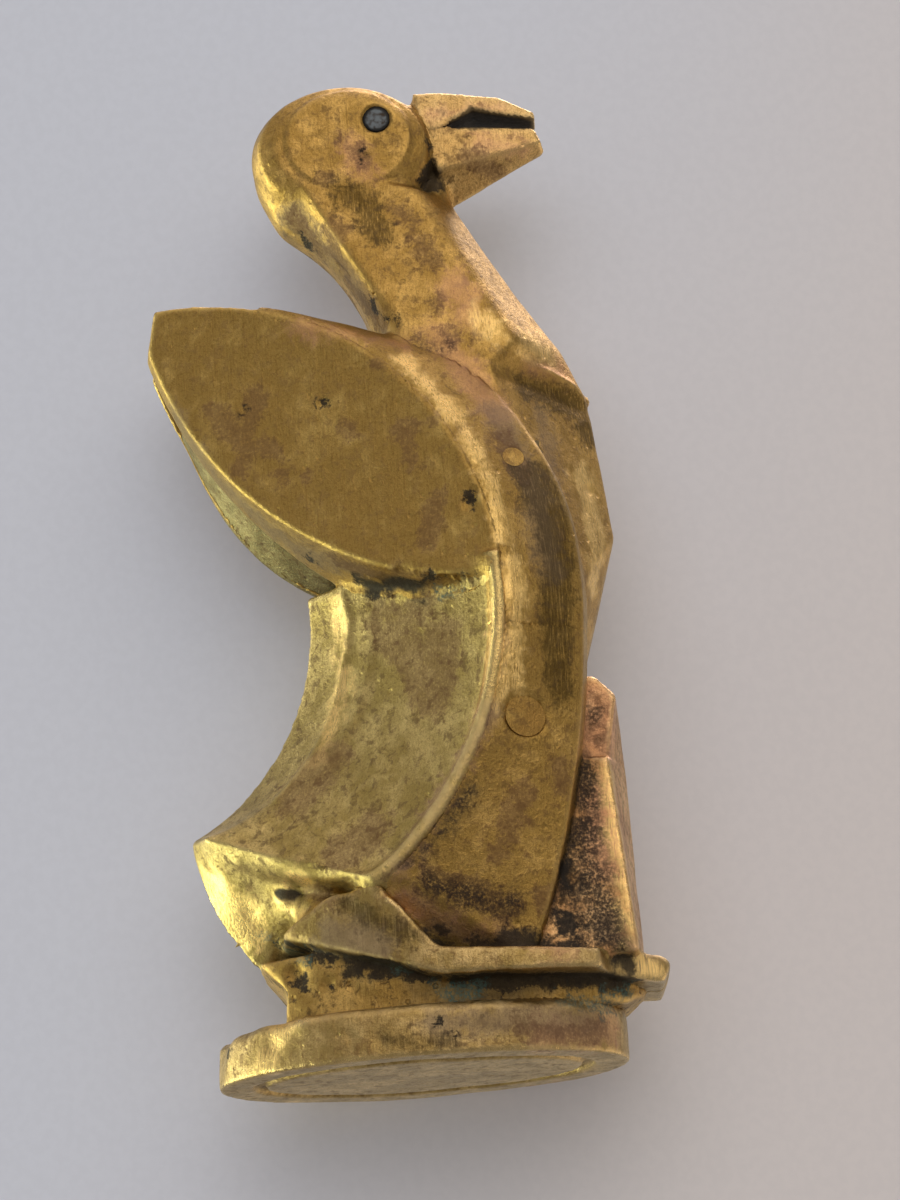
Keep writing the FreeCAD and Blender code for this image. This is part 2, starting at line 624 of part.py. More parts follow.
def neck_side(body, name, offset, lean):
    """Flat side of the neck: a leaning plane with the throat and nape lines set in by the bevel."""
    side = new_sketch(body, name)
    place_sketch(side, offset, ("0", "breast_side_top_rise"), (1, 0, 0), lean)
    base = " - breast_side_top_rise"
    outline(side, [
        ("breast_inner_back", "neck_inner_rise" + base),
        ("breast_side_top_front", "0"),
        ("throat_side_front", "throat_side_rise" + base),
        ("throat_high_front - neck_edge", "throat_high_rise" + base),
        ("- cheek_meet_back", "nape_top_rise" + base),
        ("- nape_high_back + neck_edge", "nape_high_rise + neck_edge" + base),
        ("nape_low_front + neck_edge", "nape_low_rise" + base)])
    return side


def neck_keel(body, name, offset):
    keel = new_sketch(body, name)
    place_sketch(keel, offset)
    outline(keel, [
        ("breast_inner_back", "neck_inner_rise"), ("breast_top_front", "breast_top_rise"),
        ("throat_low_front", "throat_low_rise", "throat_radius", 1),
        ("throat_high_front", "throat_high_rise"), ("- nape_top_back", "nape_top_rise"),
        ("- nape_high_back", "nape_high_rise", "nape_radius", 1),
        ("nape_low_front", "nape_low_rise")])
    return keel


def build_neck():
    body = new_body("neck_body", *ON_FOOT)
    loft(body, [neck_side(body, "neck_right", "neck_half_width", "- neck_narrowing"),
                neck_keel(body, "neck_keel_right", "neck_keel_half_width"),
                neck_keel(body, "neck_keel_left", "- neck_keel_half_width"),
                neck_side(body, "neck_left", "- neck_half_width", "neck_narrowing")])
    return body


def build_head():
    body = new_body("head_body", *ON_FOOT)
    ovals = []
    for side, hand in (("- ", "right"), ("", "left")):
        steps = [("head_half_width", "cheek_length", "cheek_height"),
                 ("head_bevel", "head_length - head_bevel_drop", "head_height - head_bevel_drop"),
                 ("head_flat", "head_length", "head_height")]
        for offset, length, height in (steps if side else steps[::-1]):
            oval = new_sketch(body, "%s_oval_%s" % (offset, hand))
            place_sketch(oval, side + offset)
            ellipse(oval, length, height, ("head_forward", "head_rise"))
            ovals.append(oval)
    loft(body, ovals)
    return body


# ---- bill: two halves, open at the front, tapered in plan ----

def build_upper_bill():
    side_body = new_body("upper_bill_side", *ON_FOOT)
    side = new_sketch(side_body, "upper_bill_outline")
    outline(side, [
        ("bill_root_mid_front", "bill_mid_rise"), ("mouth_root_front", "bill_mid_rise"),
        ("mouth_front", "mouth_rise"), ("bill_tip_front", "bill_tip_low_rise"),
        ("bill_tip_front", "bill_tip_top_rise"), ("bill_hump_front", "bill_hump_rise"),
        ("bill_root_top_front", "bill_root_top_rise")])
    pad(side_body, side, "4 * Sizes.bill_half_width", both_ways=True)
    plan_body = new_body("upper_bill_plan", *ON_FOOT)
    plan = new_sketch(plan_body, "upper_bill_plan_outline", "XY_Plane")
    place_sketch(plan, "bill_root_low_rise")
    outline(plan, [
        ("bill_root_top_front", "- bill_half_width"), ("bill_tip_front", "- bill_half_width + upper_bill_run"),
        ("bill_tip_front", "bill_half_width - upper_bill_run"), ("bill_root_top_front", "bill_half_width")])
    pad(plan_body, plan, "2 * (Sizes.bill_root_top_rise - Sizes.bill_root_low_rise)")
    return common("upper_bill_blank", side_body, plan_body)


def bill_side(body, name, offset, taper):
    side = new_sketch(body, name)
    place_sketch(side, offset, ("bill_root_top_front", "0"), (0, 1, 0), taper)
    back = " - bill_root_top_front"
    outline(side, [
        ("bill_root_mid_front - bill_lap" + back, "bill_mid_rise + bill_lap"),
        ("lower_bill_side_front - bill_lap" + back, "lower_bill_side_rise"),
        ("lower_bill_reach" + back, "lower_bill_tip_rise"),
        ("bill_tip_front" + back, "bill_mid_rise + bill_lap")])
    return side


def build_lower_bill():
    body = new_body("lower_bill_body", *ON_FOOT)
    keel = new_sketch(body, "lower_bill_keel")
    outline(keel, [
        ("bill_root_mid_front - bill_lap", "bill_mid_rise + bill_lap"),
        ("bill_root_low_front - bill_lap", "bill_root_low_rise"),
        ("lower_bill_reach", "lower_bill_keel_rise"), ("bill_tip_front", "bill_mid_rise + bill_lap")])
    loft(body, [bill_side(body, "lower_bill_right", "bill_half_width", "bill_taper"), keel,
                bill_side(body, "lower_bill_left", "- bill_half_width", "- bill_taper")])
    return body


# ---- wing: inner outline beside the gap, face outline on the swept face ----

def build_wing():
    body = new_body("wing_body", *ON_FOOT)
    inner = new_sketch(body, "wing_inner")
    place_sketch(inner, "wing_half_gap")
    outline(inner, [
        ("wing_inner_front", "wing_inner_root_rise"),
        ("wing_inner_front", "wing_inner_front_rise", "ridge_radius", -1),
        ("- wing_inner_tip_back", "wing_inner_tip_rise"),
        ("- wing_inner_end_back", "wing_inner_end_rise", "wing_inner_radius", -1)])
    face = new_sketch(body, "wing_face")
    place_sketch(face, "ridge_half_width", ("ridge_reach", "0"), (0, 1, 0), "- wing_sweep")
    outline(face, [
        ("- wing_root_back", "wing_root_rise"),
        ("- wing_front_back", "wing_front_rise", "ridge_radius", -1),
        ("- wing_tip_back", "wing_tip_rise"),
        ("- wing_end_back", "wing_end_rise", "wing_low_radius", -1)])
    loft(body, [inner, face])
    return body


# ---- tail: middle section, back corners and the two leaning sides, joined by ruled faces ----

def tail_side(body, name, offset, lean):
    side = new_sketch(body, name)
    place_sketch(side, offset, ("0", "tail_hinge_rise"), (1, 0, 0), lean)
    base = " - tail_hinge_rise"
    outline(side, [
        ("tail_ridge_low_front", "tail_side_low_rise" + base, "ridge_radius", -1),
        ("tail_ridge_top_front", "tail_side_rise" + base),
        ("tail_ridge_top_front - tail_rim", "tail_side_rise" + base, "ridge_radius", 1),
        ("tail_ridge_low_front - tail_rim", "tail_side_low_rise + tail_rim" + base),
        ("tail_ridge_low_front - rim_land", "tail_side_low_rise + rim_proud" + base)])
    return side


def tail_corner(body, name, offset):
    corner = new_sketch(body, name)
    place_sketch(corner, offset)
    outline(corner, [
        ("- tail_foot_front", "tail_side_low_rise"), ("tail_inner_front", "tail_top_rise"),
        ("- tail_corner_top_back", "tail_top_rise", "tail_corner_radius", 1),
        ("- tail_corner_tip_back", "tail_corner_tip_rise", "tail_end_side_radius", -1),
        ("- tail_under_back", "tail_under_rise")])
    return corner


def build_tail():
    body = new_body("tail_body", *ON_FOOT)
    middle = new_sketch(body, "tail_middle")
    outline(middle, [
        ("- tail_foot_front", "tail_seat_rise"), ("tail_inner_front", "tail_top_rise"),
        ("- tail_back_top", "tail_top_rise", "tail_back_radius", 1),
        ("- tail_tip_back", "tail_tip_rise", "tail_end_radius", -1),
        ("- ground_tail_back", "tail_seat_rise")])
    loft(body, [tail_side(body, "tail_right", "ridge_half_width", "tail_lean"),
                tail_corner(body, "tail_corner_right", "tail_back_half_width"), middle,
                tail_corner(body, "tail_corner_left", "- tail_back_half_width"),
                tail_side(body, "tail_left", "- ridge_half_width", "- tail_lean")])
    return body


# ---- mantle: shoulder above its joint and flank below it, from the ridge to the front edge ----

def band_sketch(body, name, corners):
    """Sketch on the mantle's front-edge plane, measured from the ridge's foremost point."""
    sketch = new_sketch(body, name)
    place_sketch(sketch, "band_half_width", ("ridge_reach", "0"), (0, 1, 0), "- band_sweep")
    outline(sketch, corners)
    return sketch


def build_shoulder():
    body = new_body("shoulder_body", *ON_FOOT)
    ridge = new_sketch(body, "shoulder_ridge")
    place_sketch(ridge, "ridge_half_width - rim_proud", ("ridge_reach", "0"), (0, 1, 0), "- wing_sweep")
    outline(ridge, [
        ("joint_in", "tail_hinge_rise"), ("joint_out", "tail_hinge_rise", "rim_out_radius", -1),
        ("- band_bend_back", "bend_out_rise", "rim_out_radius", -1), ("- band_tip_back", "tip_out_rise"),
        ("- band_tip_back", "tip_in_rise", "rim_in_radius", 1)])
    edge = band_sketch(body, "shoulder_edge", [
        ("band_inner - ridge_reach", "tail_hinge_rise"),
        ("band_reach - ridge_reach", "tail_hinge_rise", "band_high_radius", -1),
        ("band_bend_front - ridge_reach", "band_bend_rise", "band_top_radius", -1),
        ("- band_top_back - ridge_reach", "band_top_rise"),
        ("- band_top_back - ridge_reach", "band_top_rise - band_end", "ridge_radius", 1)])
    loft(body, [ridge, edge])
    pad(body, edge, "Sizes.band_depth", reverse=True)
    return body


def build_flank():
    body = new_body("flank_body", *ON_FOOT)
    ridge = new_sketch(body, "flank_ridge")
    place_sketch(ridge, "ridge_half_width - rim_proud", ("0", "tail_hinge_rise"), (1, 0, 0), "tail_lean")
    base = " - tail_hinge_rise"
    outline(ridge, [
        ("flank_low_in", "flank_low_rise" + base),
        ("flank_low_out", "flank_low_rise" + base, "rim_out_radius", -1),
        ("ridge_reach + joint_out", "0"), ("ridge_reach + joint_in", "0", "rim_in_radius", 1)])
    edge = band_sketch(body, "flank_edge", [
        ("band_low_back - ridge_reach", "- let_in"),
        ("band_low_front - ridge_reach", "- let_in", "band_low_radius", -1),
        ("band_reach - ridge_reach", "tail_hinge_rise"),
        ("band_inner - ridge_reach", "tail_hinge_rise", "ridge_radius", 1)])
    loft(body, [ridge, edge])
    pad(body, edge, "Sizes.band_depth", reverse=True)
    return body


# ---- ground: carved block between plinth and feet ----

def build_ground():
    side_body = new_body("ground_side", *ON_PLINTH)
    side = new_sketch(side_body, "ground_outline")
    outline(side, [
        ("- ground_back", "0"), ("ground_foot_front", "0"), ("ground_lip_front", "ground_lip_rise"),
        ("ground_front", "ground_front_rise"), ("toe_root", "ground_height"), ("sole_back", "ground_height"),
        ("- ground_tail_front", "ground_tail_rise"), ("- ground_tail_back", "ground_tail_rise"),
        ("- ground_back", "ground_back_rise")])
    pad(side_body, side, "2 * Sizes.ground_width", both_ways=True)
    plan_body = new_body("ground_plan")
    plan = new_sketch(plan_body, "ground_oval", "XY_Plane")
    ellipse(plan, "ground_length", "ground_width", ("ground_forward", "0"))
    pad(plan_body, plan, "Sizes.plinth_height + 2 * Sizes.ground_tail_rise")
    return common("ground_blank", side_body, plan_body)


# ---- pins and dowels ----

def build_cross_pin(name, front, rise, diameter, carriers):
    """Round pin right through the figure, dressed flush with the pieces that it goes through."""
    bar = cylinder(name + "_bar", diameter, "2 * Sizes.ridge_half_width", (0, 1, 0),
                   front, "- ridge_half_width", rise, ON_FOOT)
    return common(name + "_blank", bar, fused(name + "_carriers", carriers))


def build_dowel(side):
    return cylinder("dowel_bar", "dowel_diameter",
                    "Sizes.dowel_bury + Sizes.ground_height + Sizes.foot_height + Sizes.dowel_rise",
                    (0, 0, 1), "dowel_front", side + "dowel_half_spread", "plinth_height - dowel_bury")


def build_eye():
    """Bar that fills the eye's hole, and the stud in it, a little below the cheek."""
    hole = cylinder("eye_hole", "eye_radius + eye_radius", "Sizes.eye_depth", (0, 1, 0),
                    "eye_forward", "- head_half_width", "eye_rise", ON_FOOT)
    stud = cylinder("eye_stud", "eye_radius + eye_radius", "Sizes.eye_depth - Sizes.eye_sunk", (0, 1, 0),
                    "eye_forward", "- head_half_width + eye_sunk", "eye_rise", ON_FOOT)
    return hole, stud


# ---- blanks ----

plinth = build_plinth()
foot = build_foot()
foot_left = mirrored("foot_left_blank", foot)
leg = build_leg()
leg_left = mirrored("leg_left_blank", leg)
core = build_core()
upper_bill = build_upper_bill()
lower_bill = build_lower_bill()
bill_dowels = fused("bill_dowel_pair", [
    cylinder("bill_dowel_bar", "bill_dowel_diameter", "Sizes.bill_dowel_length", (1, 0, 0),
             "bill_dowel_back", "0", rise, ON_FOOT)
    for rise in ("upper_bill_dowel_rise", "lower_bill_dowel_rise")])
eye_hole, eye = build_eye()
eye_hole_left = mirrored("eye_hole_left", eye_hole)
eye_left = mirrored("eye_left_blank", eye)
breast = fused("breast_blank", [
    build_breast(), less("neck", build_neck(), [lower_bill]),
    less("head", build_head(), [upper_bill, lower_bill, bill_dowels, eye_hole, eye_hole_left])])
wing = build_wing()
wing_left = mirrored("wing_left_blank", wing)
tail = build_tail()
shoulder = build_shoulder()
shoulder_left = mirrored("shoulder_left_blank", shoulder)
flank = build_flank()
flank_left = mirrored("flank_left_blank", flank)
ground = build_ground()
leg_pin = build_cross_pin("leg_pin", "leg_pin_front", "leg_pin_rise", "leg_pin_diameter",
                          [core, leg, leg_left, flank, flank_left])
shoulder_pin = build_cross_pin("shoulder_pin", "shoulder_pin_front", "shoulder_pin_rise",
                               "shoulder_pin_diameter", [core, breast, shoulder, shoulder_left])
dowels = fused("dowel_pair", [build_dowel("- "), build_dowel("")])
neck_dowel = cylinder("neck_dowel_bar", "neck_dowel_diameter", "Sizes.neck_dowel_length", (0, 0, 1),
                      "neck_dowel_front", "0", "neck_dowel_low_rise", ON_FOOT)
doc.recompute()


# ---- finished pieces: each blank is let in round the pieces that it meets ----

subpart("plinth", plinth, [dowels])
subpart("ground", ground, [foot, foot_left, tail, dowels])
subpart("foot_right", foot, [dowels])
subpart("foot_left", foot_left, [dowels])
subpart("inner_body", core, [foot, foot_left, dowels, leg_pin, shoulder_pin, neck_dowel])
subpart("head_neck_and_breast", breast, [core, neck_dowel, shoulder_pin])
subpart("upper_bill", upper_bill, [bill_dowels])
subpart("lower_bill", lower_bill, [upper_bill, bill_dowels])
subpart("eye_right", eye)
subpart("eye_left", eye_left)
subpart("tail", tail, [core, wing, wing_left, foot, foot_left])
for hand, this_leg, this_wing, this_shoulder, this_flank, this_foot in (
        ("right", leg, wing, shoulder, flank, foot),
        ("left", leg_left, wing_left, shoulder_left, flank_left, foot_left)):
    subpart("leg_" + hand, this_leg, [core, breast, this_foot, leg_pin])
    subpart("wing_" + hand, this_wing, [core, breast])
    subpart("shoulder_" + hand, this_shoulder, [core, breast, this_wing, tail, shoulder_pin])
    subpart("flank_" + hand, this_flank,
            [core, breast, this_wing, tail, this_leg, this_foot, this_shoulder, leg_pin])
subpart("leg_pin", leg_pin)
subpart("shoulder_pin", shoulder_pin)
subpart("plinth_dowels", dowels)
subpart("neck_dowel", neck_dowel)
subpart("bill_dowels", bill_dowels)
doc.recompute()


# ---- check every object, then write each sub-part ----

for item in doc.Objects:
    for state in item.State:
        if state in ("Invalid", "Error"):
            raise RuntimeError("%s is %s" % (item.Name, state))
for piece in SUBPARTS:
    if piece.Shape.isNull() or not piece.Shape.isValid():
        raise RuntimeError(piece.Label + " has no valid shape")

os.makedirs("parts", exist_ok=True)
for piece in SUBPARTS:
    piece.Shape.exportStep("parts/%s.step" % piece.Label)
    print("%-22s %2d solid  %8.1f mm3  %3d faces"
          % (piece.Label, len(piece.Shape.Solids), piece.Shape.Volume, len(piece.Shape.Faces)))
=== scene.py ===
import math

import bmesh
import bpy
import numpy as np
from mathutils import Matrix, Vector
from mathutils.bvhtree import BVHTree
from mathutils.kdtree import KDTree


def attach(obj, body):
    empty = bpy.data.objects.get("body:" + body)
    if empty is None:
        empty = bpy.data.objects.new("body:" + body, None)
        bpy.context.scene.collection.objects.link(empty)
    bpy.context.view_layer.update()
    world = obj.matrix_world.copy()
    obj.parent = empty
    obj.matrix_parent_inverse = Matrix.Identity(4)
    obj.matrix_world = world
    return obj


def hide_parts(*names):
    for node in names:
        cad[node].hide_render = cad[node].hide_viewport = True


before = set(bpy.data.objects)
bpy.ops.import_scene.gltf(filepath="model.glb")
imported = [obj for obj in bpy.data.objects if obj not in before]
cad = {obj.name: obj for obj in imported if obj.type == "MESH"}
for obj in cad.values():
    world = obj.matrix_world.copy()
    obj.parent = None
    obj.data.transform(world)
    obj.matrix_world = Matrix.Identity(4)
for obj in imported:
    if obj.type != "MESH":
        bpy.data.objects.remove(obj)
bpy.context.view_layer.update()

mm = 0.001  # metres


# Colours are given as sRGB hex values and used as linear light.
def linear(code):
    parts = [int(code[i:i + 2], 16) / 255 for i in (1, 3, 5)]
    return [c / 12.92 if c <= 0.04045 else ((c + 0.055) / 1.055) ** 2.4 for c in parts]


# Vertices are worked on in numpy, with all lengths in mm.
def getPoints(mesh):
    points = np.zeros(len(mesh.vertices) * 3, np.float32)
    mesh.vertices.foreach_get("co", points)
    return points.reshape(-1, 3).astype(float) / mm


def setPoints(mesh, points):
    mesh.vertices.foreach_set("co", (points * mm).astype(np.float32).ravel())
    mesh.update()


def getNormals(mesh):
    normals = np.zeros(len(mesh.vertices) * 3, np.float32)
    mesh.vertex_normals.foreach_get("vector", normals)
    return normals.reshape(-1, 3).astype(float)


def getEdges(mesh):
    edges = np.zeros(len(mesh.edges) * 2, np.int64)
    mesh.edges.foreach_get("vertices", edges)
    return edges.reshape(-1, 2)


# Mean of each vertex's neighbours.
def neighbourMean(values, edges, count):
    total = np.zeros((count,) + values.shape[1:])
    hits = np.bincount(edges.ravel(), minlength=count).astype(float)
    for a, b in ((0, 1), (1, 0)):
        if values.ndim == 1:
            total += np.bincount(edges[:, a], weights=values[edges[:, b]], minlength=count)
        else:
            for axis in range(values.shape[1]):
                weights = values[edges[:, b], axis]
                total[:, axis] += np.bincount(edges[:, a], weights=weights, minlength=count)
    hits[hits == 0] = 1
    return total / (hits[:, None] if values.ndim > 1 else hits)


# Smooth lattice noise from -1 to 1 with lumps about as big as scale.
def softNoise(points, scale, seed):
    q = points / scale + seed * 17.31
    cell = np.floor(q).astype(np.int64)
    part = q - cell
    part = part * part * (3 - 2 * part)
    result = np.zeros(len(points))
    for dx in (0, 1):
        for dy in (0, 1):
            for dz in (0, 1):
                x, y, z = cell[:, 0] + dx, cell[:, 1] + dy, cell[:, 2] + dz
                mixed = (x * 374761393 + y * 668265263 + z * 2147483647 + seed * 974711) & 0xFFFFFFFF
                mixed = ((mixed ^ (mixed >> 13)) * 1274126177) & 0xFFFFFFFF
                value = ((mixed ^ (mixed >> 16)) & 0xFFFF) / 32767.5 - 1  # each cell's own chance value
                weight = (part[:, 0] if dx else 1 - part[:, 0]) * (part[:, 1] if dy else 1 - part[:, 1])
                result += value * weight * (part[:, 2] if dz else 1 - part[:, 2])
    return result


# The voxel grid is laid askew, so that no long edge of the figure runs along it.
askew = Matrix.Rotation(0.61, 3, "X") @ Matrix.Rotation(0.43, 3, "Y") @ Matrix.Rotation(0.87, 3, "Z")
voxelSizes = {"skin": 0.26, "piece": 0.30, "shade": 0.75}
crumbSize = 120  # loose bits of a mesh with fewer vertices are taken away

# The web between the wings: x and z along their lower edge, and how far it hangs below, in mm.
web = {
    "edge": [(-21.3, 71.8), (-20.1, 70), (-17.9, 66.3), (-15.4, 61.9), (-12.4, 58.3), (-9, 55.3),
             (-6.2, 53.6), (-3.6, 52.2)],
    "drop": [0.1, 0.5, 1.3, 1.7, 1.9, 2.0, 1.9, 1.2], "steps": 40, "smoothing": 12,
}
# Rounded fillings, centre and radii: under the chin, and where tail, heel and flank run together.
fillings = {
    "head_neck_and_breast": [((8.3, 0, 95.8), (1.7, 3.7, 2.3))],
    "tail": [((-12, -2.8, 18), (3, 2.6, 2.2)), ((-12, 2.8, 18), (3, 2.6, 2.2)),
             ((-9, -5.8, 17), (3, 2.4, 1.7)), ((-9, 5.8, 17), (3, 2.4, 1.7))],
    "flank_right": [((-1.3, -12, 17.2), (1.1, 1, 1.1))],
    "flank_left": [((-1.3, 12, 17.2), (1.1, 1, 1.1))],
}


# The web closes the gap between the wings and hangs lower at the left one.
def webForm():
    marks = np.linspace(0, 1, web["steps"])
    given = np.linspace(0, 1, len(web["edge"]))
    edge = np.stack([np.interp(marks, given, [p[axis] for p in web["edge"]]) for axis in (0, 1)], axis=1)
    drop = np.interp(marks, given, web["drop"])
    for turn in range(web["smoothing"]):
        edge[1:-1] = (edge[:-2] + edge[2:]) / 2
        drop[1:-1] = (drop[:-2] + drop[2:]) / 2
    run = np.gradient(edge, axis=0)
    run /= np.linalg.norm(run, axis=1)[:, None]
    out = np.stack([run[:, 1], -run[:, 0]], axis=1)
    vertices = []
    # The web's section has five corners: y, and how far each lies outside the wings' edge.
    for place, away, low in zip(edge, out, drop):
        for y, lift in ((-2.8, -0.5), (3.0, low), (6.2, -0.3), (2.4, -3.0), (-2.4, -3.0)):
            x, z = place + away * lift
            vertices.append((x * mm, y * mm, z * mm))
    last = len(edge) - 1
    faces = [(5 * i + j, 5 * i + (j + 1) % 5, 5 * i + 5 + (j + 1) % 5, 5 * i + 5 + j)
             for i in range(last) for j in range(5)]
    faces += [(4, 3, 2, 1, 0), tuple(5 * last + j for j in range(5))]
    return vertices, faces


# Rounded fillings as one mesh.
def fillingForm(balls):
    vertices = []
    faces = []
    for centre, radii in balls:
        ball = bmesh.new()
        bmesh.ops.create_icosphere(ball, subdivisions=3, radius=1.0)
        start = len(vertices)
        vertices += [tuple(mm * (c + v * r) for c, v, r in zip(centre, vertex.co, radii))
                     for vertex in ball.verts]
        faces += [tuple(start + vertex.index for vertex in face.verts) for face in ball.faces]
        ball.free()
    return vertices, faces


extraForms = {node: fillingForm(balls) for node, balls in fillings.items()}
extraForms["inner_body"] = webForm()


# Takes away the loose crumbs, of fewer vertices than least, that remeshing leaves at thin edges.
def dropCrumbs(mesh, least):
    edges = getEdges(mesh)
    label = np.arange(len(mesh.vertices))
    while True:
        low = np.minimum(label[edges[:, 0]], label[edges[:, 1]])
        fresh = label.copy()
        np.minimum.at(fresh, edges[:, 0], low)
        np.minimum.at(fresh, edges[:, 1], low)
        fresh = fresh[fresh]
        if (fresh == label).all():
            break
        label = fresh
    kinds, counts = np.unique(label, return_counts=True)
    small = np.flatnonzero(np.isin(label, kinds[counts < least]))
    if len(small):
        form = bmesh.new()
        form.from_mesh(mesh)
        form.verts.ensure_lookup_table()
        bmesh.ops.delete(form, geom=[form.verts[index] for index in small], context="VERTS")
        form.to_mesh(mesh)
        form.free()


# A closed even mesh round the named CAD nodes.
def voxelMesh(name, nodes, voxel):
    vertices = []
    faces = []
    for node in nodes:
        mesh = cad[node].data
        start = len(vertices)
        vertices += [tuple(askew @ v.co) for v in mesh.vertices]
        faces += [tuple(start + i for i in polygon.vertices) for polygon in mesh.polygons]
        if node in extraForms:
            start = len(vertices)
            vertices += [tuple(askew @ Vector(v)) for v in extraForms[node][0]]
            faces += [tuple(start + i for i in face) for face in extraForms[node][1]]
    rough = bpy.data.meshes.new(name + "Rough")
    rough.from_pydata(vertices, [], faces)
    carrier = bpy.data.objects.new(name + "Rough", rough)
    bpy.context.scene.collection.objects.link(carrier)
    remesh = carrier.modifiers.new("skin", "REMESH")
    remesh.mode = "VOXEL"
    remesh.voxel_size = voxel * mm
    bpy.context.view_layer.update()
    evaluated = carrier.evaluated_get(bpy.context.evaluated_depsgraph_get())
    mesh = bpy.data.meshes.new_from_object(evaluated)
    mesh.name = name
    bpy.data.objects.remove(carrier)
    dropCrumbs(mesh, crumbSize)
    setPoints(mesh, getPoints(mesh) @ np.array(askew))
    return mesh


# Wears edges down by pulling each vertex towards its neighbours.
def rub(points, edges, passes, share=0.5):
    pull = share[:, None] if isinstance(share, np.ndarray) else share
    for step in range(passes):
        points = points + (neighbourMean(points, edges, len(points)) - points) * pull
    return points


# Wears only the places where the share is above zero; the rest stays as it is.
def rubAt(points, edges, share, passes):
    chosen = share > 0.01
    touched = chosen[edges[:, 0]] | chosen[edges[:, 1]]
    used, local = np.unique(edges[touched], return_inverse=True)
    local = local.reshape(-1, 2)
    points[used] = rub(points[used], local, passes, share[used] * 0.5)
    return points


# 1 at the place, falling softly to 0 about a radius away.
def near(points, x, y, z, radius):
    distance = np.linalg.norm(points - np.array([x, y, z]), axis=1)
    return np.exp(-(distance / radius) ** 2 * 1.6)


# 1 on the line between two places, falling softly to 0 to its sides.
def alongCut(points, start, finish, width):
    start = np.array(start)
    run = np.array(finish) - start
    share = np.clip((points - start) @ run / (run @ run), 0, 1)
    distance = np.linalg.norm(points - start - share[:, None] * run, axis=1)
    return np.exp(-(distance / width) ** 2 * 1.6)


# The same for a path of several places.
def alongPath(points, path, width):
    return np.max([alongCut(points, path[i], path[i + 1], width) for i in range(len(path) - 1)], axis=0)


# A path and its mirror image on the other side.
def bothHands(path):
    return [path, [(x, -y, z) for x, y, z in path]]


